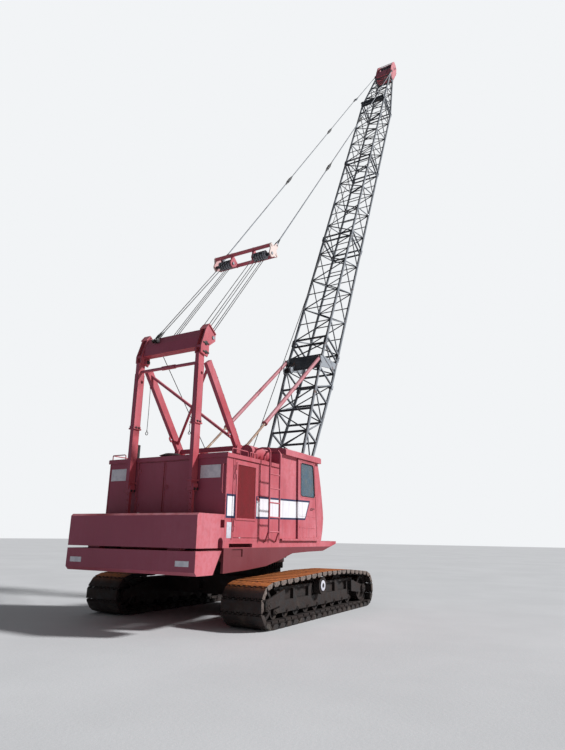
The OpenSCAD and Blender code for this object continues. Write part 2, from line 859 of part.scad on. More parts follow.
// Side view of the cab's bulging front: height above the deck, and distance ahead
cab_front = [
    [0, 1045], [250, 1130], [530, 1180], [690, 1165], [990, 1110], [1320, 1040], [1640, 950], [1900, 862],
];
function cab_front_y(z) = lookup(z - deck_z, cab_front);
// Heights of a stretch of the front, with the bends between its ends
function front_levels(z0, z1) = concat(
    [z0],
    [for (c = cab_front) let (z = deck_z + c[0]) if (z > z0 + 1 && z < z1 - 1) z],
    [z1]
);
function front_line(z0, z1, off) = [for (z = front_levels(z0, z1)) [cab_front_y(z) + off, z]];
function reversed(list) = [for (i = [len(list) - 1:-1:0]) list[i]];

function cab_profile(inset) = concat(
    [[cab_rear_y + inset, cab_z0 + inset]],
    front_line(cab_z0 + inset, cab_z1 - inset, -inset),
    [[cab_rear_y + inset, cab_z1 - inset]]
);

door_z = [deck_z + 50, cab_top - cab_lip_h - 12];
doorway_z = [deck_z + 90, cab_top - cab_lip_h - 60];
side_pane_y = [-800, 800];
side_pane_z = [2500, 3320];
front_pane_z = [2300, 3330];
front_low_z = [1720, 2120];
pane_t = 8;

// Outline of the door, or of the doorway behind it, inside the door's edge by inset
function door_outline(z_pair, inset) = [
    [door_rear_y + inset, z_pair[0]],
    [door_rear_y + door_w - inset, z_pair[0]],
    [door_rear_y + door_w - door_slant - inset, z_pair[1]],
    [door_rear_y + inset, z_pair[1]],
];

// A layer of the cab's front between two heights, from y0 to y1 off its face
module front_band(x0, x1, z_pair, y0, y1) {
    side_plate(x0, x1, concat(
        front_line(z_pair[0], z_pair[1], y1), reversed(front_line(z_pair[0], z_pair[1], y0))
    ));
}

module cab_shell() {
    color(red)
    difference() {
        union() {
            side_plate(cab_x[0], cab_x[1], cab_profile(0));
            // Rail that the door slides on
            block(
                [cab_x[1] - 1, cab_rear_y + 6, door_z[0] - 40],
                [cab_x[1] + clear + door_t + 14, door_rear_y + door_w + 60, door_z[0] - seat]
            );
        }
        side_plate(cab_x[0] + wall_t, cab_x[1] - wall_t, cab_profile(wall_t));
        // Doorway
        side_plate(cab_x[1] - wall_t - 1, cab_x[1] + 1, door_outline(doorway_z, 60));
        // Window in the inner side, and the two front windows
        block(
            [cab_x[0] - 1, side_pane_y[0], side_pane_z[0]],
            [cab_x[0] + wall_t + 1, side_pane_y[1] - 60, side_pane_z[1]]
        );
        for (z = [front_pane_z, front_low_z])
            front_band(cab_x[0] + 70, cab_x[1] - 70, z, -wall_t - 30, 20);
    }
}

module cab_glass() {
    color(glass_tint, 0.4) {
        block(
            [cab_x[0] + 16, side_pane_y[0] + seat, side_pane_z[0] + seat],
            [cab_x[0] + 16 + pane_t, side_pane_y[1] - 60 - seat, side_pane_z[1] - seat]
        );
        for (z = [front_pane_z, front_low_z])
            front_band(
                cab_x[0] + 70 + seat, cab_x[1] - 70 - seat, [z[0] + seat, z[1] - seat],
                -18 - pane_t, -18
            );
    }
}

module cab_roof() {
    lip_t = 30;
    over = 45;
    front_y = cab_front_y(cab_z1) + 36;
    rear_y = cab_rear_y + 85;
    x0 = cab_x[0] - 15;
    x1 = cab_x[1] + over + door_t;
    color(red)
    difference() {
        // Cambered outline in the X-Z plane, drawn out along the cab
        translate([0, front_y, 0]) rotate([90, 0, 0]) linear_extrude(front_y - rear_y) polygon([
            [x0, cab_top - cab_lip_h], [x1, cab_top - cab_lip_h], [x1, cab_top - 30], [x1 - 40, cab_top],
            [(x0 + x1) / 2, cab_top + 38], [x0 + 40, cab_top], [x0, cab_top - 30],
        ]);
        block(
            [cab_x[0] - seat, cab_rear_y - 60, cab_top - cab_lip_h - 1],
            [x1 - lip_t, front_y - lip_t + 2, cab_z1 + seat]
        );
    }
}

module cab_door() {
    x0 = cab_x[1] + clear;
    corner_r = 70;
    // Window corners: rear foot, front foot, front top, rear top
    window = [[-110, 2560], [620, 2560], [530, 3330], [-110, 3330]];
    inward = [[1, 1], [-1, 1], [-1, -1], [1, -1]];
    handle = [455, 2290];
    color(red)
    difference() {
        union() {
            side_plate(x0, x0 + door_t, door_outline(door_z, 0));
            // Handle on two standoffs
            translate([x0 + door_t + 30, handle[0], handle[1]]) rotate([90, 0, 0])
            cylinder(h = 150, r = 9, center = true, $fn = 16);
            for (y = [-60, 60])
                cross_bar(x0 + door_t - 1, x0 + door_t + 32, [handle[0] + y, handle[1]], 9, 16);
        }
        // Window with rounded corners
        translate([x0 - 1, 0, 0]) rotate([90, 0, 90]) linear_extrude(door_t + 2)
        hull() for (i = [0:3]) translate(window[i] + corner_r * inward[i]) circle(r = corner_r, $fn = 32);
    }
    color(glass_tint, 0.4)
    side_plate(x0 + 14, x0 + 14 + pane_t, [for (i = [0:3]) window[i] - 12 * inward[i]]);
}

module operator_seat() {
    x = (cab_x[0] + cab_x[1]) / 2;
    floor_z = cab_z0 + wall_t + seat;
    color("#22252A") {
        block([x - 150, -330, floor_z], [x + 150, -30, floor_z + 330]);
        block([x - 250, -420, floor_z + 329], [x + 250, 90, floor_z + 460]);
        side_plate(x - 240, x + 240, [
            [-420, floor_z + 440], [-290, floor_z + 440], [-370, floor_z + 1060], [-480, floor_z + 1060],
        ]);
    }
}

module control_stand() {
    x = (cab_x[0] + cab_x[1]) / 2;
    floor_z = cab_z0 + wall_t + seat;
    color("#4A4E55") {
        side_plate(x - 260, x + 260, [
            [430, floor_z], [640, floor_z], [760, floor_z + 620], [560, floor_z + 700], [500, floor_z + 640],
        ]);
        for (i = [-2:2])
            strut([x + i * 95, 600, floor_z + 650], [x + i * 95, 520, floor_z + 880], 11);
    }
}

// GANTRY: posts behind the house, legs on the roof, and a head that carries the sheaves
post_y = -house_rear - roof_lip - clear - leg_d / 2 + 20;
post_z0 = weight_low_z + weight_low_h + weight_gap + weight_up_h + seat;
post_mid = 2540;
head_pin = [-3090, 5330];
leg_foot = [-1650, roof_z + 330];
leg_top = [-2900, 5165];

module gantry_posts() {
    color(red)
    both_sides()
    difference() {
        union() {
            leg_bar(gantry_x, leg_w, [post_y, post_mid], [post_y, head_pin[1] - 60], leg_d);
            // Thinner perforated strut down to the counterweight, with its pin bracket
            block([gantry_x - 36, post_y - 36, post_z0], [gantry_x + 36, post_y + 36, post_mid + 1]);
            block([gantry_x - 85, post_y - 70, post_mid - 60], [gantry_x + 85, post_y + 70, post_mid + 70]);
            // Half of the tie tube between the posts, with its sleeve
            cross_bar(-1, gantry_x, [post_y, 5075], 34, 32);
            cross_bar(-1, 180, [post_y, 5075], 46, 32);
        }
        for (i = [0:3])
            translate([gantry_x, post_y, post_z0 + 90 + i * 105]) rotate([90, 0, 0])
            cylinder(h = 200, r = 15, center = true, $fn = 24);
        // Lifting hole across the post below the head
        cross_bar(gantry_x - leg_w, gantry_x + leg_w, [post_y + 30, 4850], 32);
    }
}

// Point on a leg's axis, from its foot at 0 to its top at 1
function leg_point(side, k) =
    let (p = leg_foot + k * (leg_top - leg_foot))
    [side * gantry_x, p[0], p[1]];

module gantry_legs() {
    color(red) {
        both_sides() {
            leg_bar(gantry_x, leg_w, leg_foot, leg_top, leg_d);
            // Foot bracket on the roof
            side_plate(gantry_x - 60, gantry_x + 60, [
                [leg_foot[0] - 150, roof_z + seat], [leg_foot[0] + 190, roof_z + seat],
                [leg_foot[0] + 90, leg_foot[1] + 60], [leg_foot[0] - 110, leg_foot[1] + 60],
            ]);
        }
        // Beam across the feet
        block([-gantry_x, leg_foot[0] - 45, leg_foot[1] - 50], [gantry_x, leg_foot[0] + 45, leg_foot[1] + 50]);
        // Crossed tubes between the legs: side of the upper end, and radius
        for (c = [[-1, 34], [1, 31]])
            strut(leg_point(c[0], 0.96), leg_point(-c[0], 0.09), c[1], 12);
    }
}

module gantry_head() {
    outer_x = gantry_x + leg_w / 2;
    inner_x = gantry_x - leg_w / 2;
    plate_t = 34;
    color(red) {
        both_sides() {
            difference() {
                union() {
                    // Plates outside and inside each post
                    side_plate(outer_x + seat, outer_x + plate_t, head_plate());
                    side_plate(inner_x - plate_t, inner_x - seat, head_plate());
                    // Inner plate that holds the other end of each sheave shaft
                    side_plate(330, 360, [
                        [beam_y - 20, mast_z - 220], [-mast_rear + 60, mast_z - 90],
                        [-mast_rear + 80, mast_z + 30], [-mast_rear + 10, mast_z + 90],
                        [beam_y - 20, mast_z + 80],
                    ]);
                }
                cross_bar(0, 1200, [-mast_rear, mast_z], mast_pin_r + turn_fit);
            }
            // Flared cap along the top of the two plates, and the cap over the post
            side_plate(inner_x - plate_t, outer_x + plate_t + 22, [
                [-3110, 5826], [-3020, 5941], [-2780, 5781], [-2774, 5799], [-3024, 5966], [-3128, 5836],
            ]);
            block([inner_x - 30, -3240, head_pin[1] + 60], [outer_x + 30, -3030, head_pin[1] + 110]);
            // Collars of the pins that fix the head on its post
            cross_bar(inner_x - plate_t - 44, inner_x - plate_t + 1, [-3085, 5510], 88, 36);
            cross_bar(inner_x - plate_t - 44, inner_x - plate_t + 1, [-3075, 5312], 70, 36);
            cross_bar(inner_x - plate_t - 66, inner_x - plate_t, [-3085, 5510], 40, 36);
        }
        // Closed box beam between the plates: lower and upper rear faces meet at an edge
        side_plate(-inner_x + 10, inner_x - 10, [
            [-3190, 5425], [beam_y, 5395], [beam_y, 5815], [-3066, 5845], [-3156, 5660],
        ]);
    }
}

// Front face of the head's box beam, behind the sheaves
beam_y = -3040;

function head_plate() = [
    [-3245, 5270], [-3010, 5225], [-2975, 5330], [-2975, 5480], [-2770, 5640],
    [-2775, 5785], [-3020, 5945], [-3110, 5830], [-3165, 5660], [-3245, 5420],
];

mast_pin_r = 40;
sheave_w = 62;
// Depth of a sheave's groove, and its half width at the rim
groove_d = sheave_w * 0.45;
groove_half_w = sheave_w / 2 - 8;

// Places across the machine of the sheaves of gantry and harness
function sheave_x(i) = 408 + i * (sheave_w + 12);

// One rope sheave, turned about X, with a grooved rim
module sheave(x, w, r, bore) {
    translate([x, 0, 0]) rotate([0, 90, 0])
    rotate_extrude($fn = 48) polygon([
        [bore, -w / 2], [r, -w / 2], [r, -w / 2 + 8], [r - w * groove_d / sheave_w, 0],
        [r, w / 2 - 8], [r, w / 2], [bore, w / 2],
    ]);
}

module gantry_sheaves() {
    color(slate)
    translate([0, -mast_rear, mast_z])
    both_sides() {
        for (i = [0:4]) sheave(sheave_x(i), sheave_w, sheave_r, mast_pin_r - 1);
        cross_bar(320, gantry_x + leg_w / 2 + 50, [0, 0], mast_pin_r);
    }
}

// ROOF FITTINGS
ladder_x = 1750;
ladder_y = [-1800, -1380];
ladder_z = [1730, 3330];

// Hooped top of a ladder rail, from the rail in over the roof: X and Z
ladder_hoop = [
    [ladder_x, ladder_z[1] - 30], [ladder_x - 8, ladder_z[1] + 50], [ladder_x - 55, ladder_z[1] + 105],
    [ladder_x - 200, ladder_z[1] + 118], [ladder_x - 340, ladder_z[1] + 92],
    [ladder_x - 398, ladder_z[1] + 10], [ladder_x - 404, roof_z + 60], [ladder_x - 404, roof_z + seat],
];

// Outline of a bent bar along a path, half its width to each side
function path_side(path, i) =
    let (a = path[max(i - 1, 0)], b = path[min(i + 1, len(path) - 1)], d = (b - a) / norm(b - a))
    [-d[1], d[0]];
function bent_bar(path, half) = concat(
    [for (i = [0:len(path) - 1]) path[i] + half * path_side(path, i)],
    [for (i = [len(path) - 1:-1:0]) path[i] - half * path_side(path, i)]
);

module roof_ladder() {
    bar = 32;
    color(red) {
        for (y = ladder_y) {
            strut([ladder_x, y, ladder_z[0] - 40], [ladder_x, y, ladder_z[1] + 6], 20, 12);
            // Strut from the foot down and forward to the deck's edge
            strut([ladder_x, y, ladder_z[0] + 30], [house_half_w + 16, y + 170, deck_z - 12], 17, 8);
            translate([0, y + bar / 2, 0]) rotate([90, 0, 0]) linear_extrude(bar)
            polygon(bent_bar(ladder_hoop, bar / 2));
        }
        for (i = [0:4])
            strut([ladder_x, ladder_y[0], 1730 + i * 291], [ladder_x, ladder_y[1], 1730 + i * 291], 15, 12);
    }
}

module exhaust_stack() {
    color("#1C1C1E")
    translate([-1000, -2850, roof_z + seat]) {
        cylinder(h = 330, r = 55, $fn = 32);
        cylinder(h = 30, r = 100, $fn = 32);
    }
}

module air_cleaner() {
    color(red)
    difference() {
        union() {
            translate([1130, -1780, roof_z + 200]) rotate([-90, 0, 0]) cylinder(h = 760, r = 160, $fn = 48);
            for (y = [-1660, -1240])
                block([1000, y, roof_z + seat], [1260, y + 60, roof_z + 110]);
        }
    }
}

module roof_vent() {
    color(dark_red)
    translate([-150, -2700, roof_z + seat]) {
        cylinder(h = 70, r = 190, $fn = 40);
        translate([0, 0, 69]) cylinder(h = 45, r1 = 260, r2 = 150, $fn = 40);
    }
}

// BOOM: built flat along +Y from its foot pin, then raised. X stays across, and Z is its back.
module on_boom() {
    translate([0, boom_foot_y, boom_foot_z]) rotate([boom_angle, 0, 0]) children();
}

foot_d = 200;
insert_start = base_l;
tip_start = base_l + 3 * insert_l;
head_start = tip_start + tip_l;
joint_gap = 0.3;

// Half the width and half the depth of the boom at distance s from the foot pin
function boom_half_w(s) =
    s < tip_start ? boom_w / 2 : boom_w / 2 + (tip_w - boom_w) / 2 * (s - tip_start) / tip_l;
function boom_half_d(s) =
    s < base_taper_l ? foot_d / 2 + (boom_d - foot_d) / 2 * s / base_taper_l
    : s < tip_start ? boom_d / 2
    : boom_d / 2 + (tip_d - boom_d) / 2 * (s - tip_start) / tip_l;
function corner(s, cx, cn) = [cx * boom_half_w(s), s, cn * boom_half_d(s)];

// Lacing of one stretch: a zigzag in each of the four faces, whose ends meet in pairs on every
// chord, bars across back and belly at each bend, and a full frame at both ends
module lacing(s0, s1, panels, phase, full_frames) {
    step = (s1 - s0) / panels;
    for (i = [0:panels - 1]) {
        a = s0 + i * step;
        b = a + step;
        way = (i + phase) % 2 == 0 ? 1 : -1;
        r = lace_r - (i % 2) * 2;
        for (c = [-1, 1]) {
            strut(corner(a, c, -c * way), corner(b, c, c * way), r);
            strut(corner(a, -c * way, c), corner(b, c * way, c), r - 1);
        }
    }
    for (i = [0:panels])
        if (full_frames || i == 0 || i == panels) frame_ring(s0 + i * step, strut_r);
        else for (c = [-1, 1])
            strut(corner(s0 + i * step, -1, c), corner(s0 + i * step, 1, c), lace_r - 4);
}

module frame_ring(s, r) {
    for (c = [-1, 1]) {
        strut(corner(s, c, -1), corner(s, c, 1), r);
        strut(corner(s, -1, c), corner(s, 1, c), r);
    }
}

module chords(marks, r) {
    for (i = [0:len(marks) - 2], cx = [-1, 1], cn = [-1, 1])
        strut(corner(marks[i], cx, cn), corner(marks[i + 1], cx, cn), r, 8, 22.5);
}

// Pin lugs that join two sections at each chord
module end_lugs(s, way) {
    for (cx = [-1, 1], cn = [-1, 1])
        translate(corner(s, cx, cn))
        block(
            [-lug_half, way > 0 ? 0 : -lug_l, -lug_half - 14],
            [lug_half, way > 0 ? lug_l : 0, lug_half + 14]
        );
}

lug_half = 44;
lug_l = 130;
end_inset = 150;
// The chords stop this short of a section's ends, inside its lugs
chord_inset = 6;

module insert(index) {
    s0 = insert_start + index * insert_l + joint_gap / 2;
    s1 = s0 + insert_l - joint_gap;
    color(slate)
    on_boom() {
        chords([s0 + chord_inset, s1 - chord_inset], chord_r);
        lacing(s0 + end_inset, s1 - end_inset, insert_panels, index % 2, false);
        end_lugs(s0, 1);
        end_lugs(s1, -1);
    }
}

base_lace_start = 780;
base_panels = 6;
band_t = 25;
box_s = [base_taper_l + 80, base_taper_l + 560];

module boom_base() {
    s1 = base_l - joint_gap / 2;
    color(slate)
    on_boom()
    difference() {
        union() {
            chords([foot_pin_r + 60, base_taper_l, s1 - chord_inset], chord_r);
            lacing(base_lace_start, box_s[0], base_panels, 0, true);
            lacing(box_s[1], s1 - end_inset, 1, 0, true);
            end_lugs(s1, -1);
            // Foot lugs
            for (s = [-1, 1])
                side_plate(s * boom_w / 2 - foot_w / 2, s * boom_w / 2 + foot_w / 2, [
                    [-80, -60], [-30, -110], [60, -120], [320, -150],
                    [320, 150], [60, 120], [-30, 110], [-80, 60],
                ]);
            // Plates that hold the upper pins of the boom stops, and the pins
            for (s = [-1, 1]) {
                for (x = [[-54, -30], [30, 50]])
                    side_plate(
                        min(s * (stop_x + x[0]), s * (stop_x + x[1])),
                        max(s * (stop_x + x[0]), s * (stop_x + x[1])),
                        [
                            [stop_s - 130, boom_d / 2 - 20], [stop_s + 130, boom_d / 2 - 20],
                            [stop_s + 50, stop_n + 50], [stop_s - 50, stop_n + 50],
                        ]
                    );
                cross_bar(s * stop_x - 50, s * stop_x + 50, [stop_s, stop_n], stop_hole_r, 32);
            }
            // Band across the back that carries the tagline winder
            block(
                [-boom_w / 2, box_s[0] - 30, boom_d / 2 - band_t],
                [boom_w / 2, box_s[1] + 30, boom_d / 2 + band_t]
            );
            for (c = [-1, 1]) {
                // Gusset in each side face, from the band to the belly chord
                side_plate(c * boom_w / 2 - 15, c * boom_w / 2 + 15, [
                    [box_s[0] + 10, boom_d / 2 - 10], [box_s[1] - 10, boom_d / 2 - 10],
                    [box_s[1] + 430, -boom_d / 2 + 10], [box_s[0] + 670, -boom_d / 2 + 10],
                ]);
                // Sleeves where each chord bends
                for (d = [-1, 1])
                    translate(corner(base_taper_l, c, d))
                    block([-52, -75, -52], [52, 75, 52]);
            }
        }
        cross_bar(-700, 700, [0, 0], foot_pin_r + turn_fit);
    }
    color(steel) on_boom()
    for (s = [-1, 1])
        cross_bar(s * boom_w / 2 - foot_pin_l / 2, s * boom_w / 2 + foot_pin_l / 2, [0, 0], foot_pin_r);
}

module boom_tip() {
    s0 = tip_start + joint_gap / 2;
    s1 = head_start - joint_gap / 2;
    color(slate)
    on_boom() {
        chords([s0 + chord_inset, s1 - 3 * chord_inset], chord_r);
        lacing(s0 + end_inset, s1 - end_inset, 5, 1, false);
        end_lugs(s0, 1);
        end_lugs(s1, -1);
    }
}

head_l = 1750;
head_plate_t = 26;
head_sheave_s = head_start + 1150;
head_pin_r = 45;
jib_pin_r = 34;
jib_pin = [head_start + 1480, -190];
pendant_pin = [head_start + 300, 200];

function head_outline() = [
    [head_start + joint_gap / 2, -250], [head_start + 700, -330], [head_start + 1200, -400],
    [head_start + head_l - 90, -330], [head_start + head_l, -120], [head_start + head_l - 60, 120],
    [head_start + 1150, 300], [head_start + 500, 300], [head_start + joint_gap / 2, 250],
];

module boom_head() {
    color(red)
    on_boom()
    difference() {
        union() {
            for (s = [-1, 1])
                translate([s * (tip_w / 2 + 20), 0, 0])
                side_plate(-head_plate_t / 2, head_plate_t / 2, head_outline());
            // Back plate, belly plate and end tie
            block([-tip_w / 2 - 20, head_start + joint_gap / 2, 226], [tip_w / 2 + 20, head_start + 640, 252]);
            block(
                [-tip_w / 2 - 20, head_start + joint_gap / 2, -252],
                [tip_w / 2 + 20, head_start + 420, -226]
            );
            block([-tip_w / 2 - 20, head_start + joint_gap / 2, -250], [tip_w / 2 + 20, head_start + 30, 250]);
            cross_bar(-tip_w / 2 - 10, tip_w / 2 + 10, [head_start + 1560, 60], 45);
            cross_bar(-tip_w / 2 - 106, tip_w / 2 + 106, pendant_pin, 34);
        }
        cross_bar(-700, 700, [head_sheave_s, -60], head_pin_r + turn_fit);
        cross_bar(-700, 700, jib_pin, jib_pin_r, 48);
    }
}

head_sheave_count = 4;

module head_sheaves() {
    color(slate)
    on_boom()
    translate([0, head_sheave_s, -60]) {
        for (i = [0:head_sheave_count - 1])
            sheave((i - (head_sheave_count - 1) / 2) * 150, 80, head_sheave_r, head_pin_r - 1);
        cross_bar(-tip_w / 2 - 60, tip_w / 2 + 60, [0, 0], head_pin_r);
    }
}

// Winder that hangs from the left end of the band: its drum's place along the boom and off its back
winder_x = [-520, -300];
winder_at = [box_s[0] - 165, boom_d / 2 + 175];

module tagline_winder() {
    x = (winder_x[0] + winder_x[1]) / 2;
    w = (winder_x[1] - winder_x[0]) / 2;
    foot = boom_d / 2 + band_t + seat;
    color(slate)
    on_boom() {
        translate([x, winder_at[0], winder_at[1]]) rotate([0, 90, 0])
        rotate_extrude($fn = 40) polygon([
            [0, 2 - w], [110, 2 - w], [110, 18 - w], [70, 26 - w],
            [70, w - 26], [110, w - 18], [110, w - 2], [0, w - 2],
        ]);
        // Arms from the band to the ends of the drum
        for (x0 = [winder_x[0], winder_x[1] - 12])
            side_plate(x0, x0 + 12, [
                [box_s[0] + 50, foot], [box_s[0] + 190, foot], [box_s[0] + 80, foot + 70],
                [winder_at[0] + 30, winder_at[1] + 45], [winder_at[0] - 30, winder_at[1] + 30],
                [winder_at[0] - 30, winder_at[1] - 40],
            ]);
        block([winder_x[0], box_s[0] + 50, foot], [winder_x[1], box_s[0] + 190, foot + 24]);
    }
}

// LUFFING GEAR
head_pendant_world = [
    boom_foot_y + pendant_pin[0] * cos(boom_angle) - pendant_pin[1] * sin(boom_angle),
    boom_foot_z + pendant_pin[0] * sin(boom_angle) + pendant_pin[1] * cos(boom_angle),
];
mast_point = [-mast_rear, mast_z];
line_run = head_pendant_world - mast_point;
line_l = norm(line_run);
line_angle = atan2(line_run[1], line_run[0]);

// Things laid along the luffing lines: Y runs from the gantry's sheave shaft to the boom head
module on_lines() {
    translate([0, mast_point[0], mast_point[1]]) rotate([line_angle, 0, 0]) children();
}

pendant_x = [860, 668];
link_x = [598, 478];
pendant_eye_w = 40;
link_end = line_l - link_l;

module pendant_links() {
    color(slate)
    on_lines()
    both_sides() {
        strut([link_x[0], link_end + 60, 0], [link_x[1], line_l - 60, 0], pendant_r, 8);
        block([link_x[0] - 20, link_end - 40, -38], [link_x[0] + 20, link_end + 130, 38]);
        // Pin that the pendant's eye hangs on
        cross_bar(link_x[0], pendant_x[1] - pendant_eye_w / 2 - seat, [link_end, 0], 24, 32);
        difference() {
            block([link_x[1] - 18, line_l - 130, -50], [link_x[1] + 18, line_l + 55, 50]);
            cross_bar(0, 900, [line_l, 0], 34 + turn_fit);
        }
    }
}

module pendants() {
    color(slate)
    on_lines()
    both_sides() {
        strut([pendant_x[0], harness_at + 520, 0], [pendant_x[1], link_end - 60, 0], pendant_r, 8);
        block(
            [pendant_x[0] - 24, harness_at + arm_l - 90, -40],
            [harness_plate_x[1] - harness_plate_t / 2 - seat, harness_at + 600, 40]
        );
        block(
            [pendant_x[1] - pendant_eye_w / 2, link_end - 160, -38],
            [pendant_x[1] + pendant_eye_w / 2, link_end + 45, 38]
        );
    }
}

// Distance of the ropes' centre lines from the shafts, where they lie in the grooves
rope_off = sheave_r - groove_d + rope_r / sin(atan(groove_half_w / groove_d)) + seat;
// The sheaves that carry a rope: side, those with one above, and those with one below
rope_sheaves = [[1, [1, 3], [0, 2, 3]], [-1, [0, 2], [1, 2, 3]]];

module luffing_lines() {
    color("#1C1C1E")
    on_lines()
    for (m = rope_sheaves, way = [1, -1], i = way > 0 ? m[1] : m[2])
        strut(
            [m[0] * sheave_x(i), 0, way * rope_off], [m[0] * sheave_x(i), harness_at, way * rope_off],
            rope_r, 8, 22.5
        );
}

// The harness is an open frame: two bars outside the ropes, with plates across their ends
harness_plate_x = [345, 900];
harness_plate_t = 30;
bar_at = sheave_r + 25;
bar_off = rope_off + rope_r + clear;
bar_w = 85;
bar_d = 60;
arm_l = 470;

// Half of a plate's outline, from the gantry's side to the boom's: along, and off the lines
plate_edge = [
    [-bar_at + 45, 55], [-bar_at + 75, 85], [40, 120], [bar_at - 15, bar_off + bar_w + 6],
    [bar_at + bar_d + 6, bar_off + bar_w + 6],
];
function mirrored(list) = [for (i = [len(list) - 1:-1:0]) [list[i][0], -list[i][1]]];

module harness_plate(x, edge) {
    translate([0, harness_at, 0])
    difference() {
        side_plate(x - harness_plate_t / 2, x + harness_plate_t / 2, concat(edge, mirrored(edge)));
        cross_bar(0, 1200, [0, 0], mast_pin_r + turn_fit);
    }
}

module harness() {
    color(red)
    on_lines() {
        both_sides() {
            harness_plate(harness_plate_x[0], plate_edge);
            harness_plate(harness_plate_x[1], concat(plate_edge, [
                [bar_at + bar_d + 60, 75], [arm_l - 20, 60], [arm_l, 40],
            ]));
        }
        for (way = [-1, 1])
            block(
                [-harness_half_w, harness_at + bar_at, way > 0 ? bar_off : -bar_off - bar_w],
                [harness_half_w, harness_at + bar_at + bar_d, way > 0 ? bar_off + bar_w : -bar_off]
            );
    }
}

module harness_sheaves() {
    color(slate)
    on_lines()
    translate([0, harness_at, 0])
    both_sides() {
        for (i = [0:4]) sheave(sheave_x(i), sheave_w, sheave_r - 1, mast_pin_r - 1);
        cross_bar(harness_plate_x[0] - 40, harness_half_w, [0, 0], mast_pin_r);
    }
}

// BOOM STOPS: a rod hinged on the roof slides in a tube that meets the boom
stop_low = [-stop_rear, stop_z];
stop_high = [
    boom_foot_y + stop_s * cos(boom_angle) - stop_n * sin(boom_angle),
    boom_foot_z + stop_s * sin(boom_angle) + stop_n * cos(boom_angle),
];
stop_run = stop_high - stop_low;
stop_l = norm(stop_run);
stop_angle = atan2(stop_run[1], stop_run[0]);
stop_fork_t = 44;
stop_hole_r = 28;

module on_stop() {
    translate([0, stop_low[0], stop_low[1]]) rotate([stop_angle, 0, 0]) children();
}

module stop_rods() {
    color("#A98B72")
    on_stop()
    both_sides()
    difference() {
        union() {
            translate([stop_x, 60, 0]) rotate([-90, 0, 0])
            cylinder(h = stop_rod_l - 60, r = stop_rod_r, $fn = 32);
            cross_bar(stop_x - stop_fork_t / 2, stop_x + stop_fork_t / 2, [0, 0], 62, 36);
            block([stop_x - stop_fork_t / 2, 0, -34], [stop_x + stop_fork_t / 2, 130, 34]);
        }
        cross_bar(0, 700, [0, 0], stop_hole_r);
    }
}

module stop_tubes() {
    color(red)
    on_stop()
    both_sides()
    difference() {
        union() {
            difference() {
                translate([stop_x, stop_l - stop_tube_l, 0]) rotate([-90, 0, 0])
                cylinder(h = stop_tube_l - 110, r = stop_tube_r, $fn = 32);
                translate([stop_x, stop_l - stop_tube_l - 1, 0]) rotate([-90, 0, 0])
                cylinder(h = stop_tube_l - 134, r = stop_rod_r + rod_fit, $fn = 32);
            }
            block([stop_x - stop_fork_t / 2, stop_l - 120, -38], [stop_x + stop_fork_t / 2, stop_l, 38]);
            cross_bar(stop_x - stop_fork_t / 2, stop_x + stop_fork_t / 2, [stop_l, 0], 56, 36);
        }
        cross_bar(0, 700, [stop_l, 0], stop_hole_r + turn_fit);
    }
}

carbody();
slew_ring();
side_frame();  // side_frame_right
mirror([1, 0, 0]) side_frame();  // side_frame_left
track();  // track_right
mirror([1, 0, 0]) track();  // track_left
drive_tumblers();
front_idlers();
track_rollers();
carrier_wheels();
revolving_frame();
deck();  // deck_right
mirror([1, 0, 0]) deck();  // deck_left
counterweight_lower();
counterweight_upper();
house_wall_side();  // house_wall_right
mirror([1, 0, 0]) house_wall_side();  // house_wall_left
house_wall_rear();
house_wall_front();
house_roof();
engine_block();
side_door();  // side_door_right
mirror([1, 0, 0]) side_door();  // side_door_left
rear_door();  // rear_door_right
mirror([1, 0, 0]) rear_door();  // rear_door_left
cab_shell();
cab_roof();
cab_glass();
cab_door();
operator_seat();
control_stand();
hoist_drum(drum_front_y);  // hoist_drum_front
hoist_drum(drum_rear_y);  // hoist_drum_rear
gantry_posts();
gantry_legs();
gantry_head();
gantry_sheaves();
roof_ladder();
exhaust_stack();
air_cleaner();
roof_vent();
boom_base();
insert(0);  // boom_insert_1
insert(1);  // boom_insert_2
insert(2);  // boom_insert_3
boom_tip();
boom_head();
head_sheaves();
tagline_winder();
pendant_links();
pendants();
luffing_lines();
harness();
harness_sheaves();
stop_rods();
stop_tubes();
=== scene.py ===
"""Looks of a crawler crane with a lattice boom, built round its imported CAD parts.

The frame is in metres: X is the machine's right, Y is forward, Z is up, and the
origin is on the ground under the centre of rotation.
"""

import math

import bmesh
import bpy
from mathutils import Matrix, Vector


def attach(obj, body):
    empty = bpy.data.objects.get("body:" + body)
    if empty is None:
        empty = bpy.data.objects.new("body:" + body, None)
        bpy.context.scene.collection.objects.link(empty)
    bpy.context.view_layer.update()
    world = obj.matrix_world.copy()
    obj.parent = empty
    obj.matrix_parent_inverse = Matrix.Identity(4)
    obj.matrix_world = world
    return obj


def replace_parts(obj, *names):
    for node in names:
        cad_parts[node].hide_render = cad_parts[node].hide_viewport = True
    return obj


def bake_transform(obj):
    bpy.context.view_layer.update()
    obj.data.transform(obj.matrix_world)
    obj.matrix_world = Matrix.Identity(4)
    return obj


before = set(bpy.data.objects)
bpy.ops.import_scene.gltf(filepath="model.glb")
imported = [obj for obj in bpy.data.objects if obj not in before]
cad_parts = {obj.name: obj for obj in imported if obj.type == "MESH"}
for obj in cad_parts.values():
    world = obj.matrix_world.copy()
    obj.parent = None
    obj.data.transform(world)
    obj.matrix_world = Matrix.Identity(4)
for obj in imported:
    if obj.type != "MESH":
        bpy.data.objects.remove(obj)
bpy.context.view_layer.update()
scene = bpy.context.scene

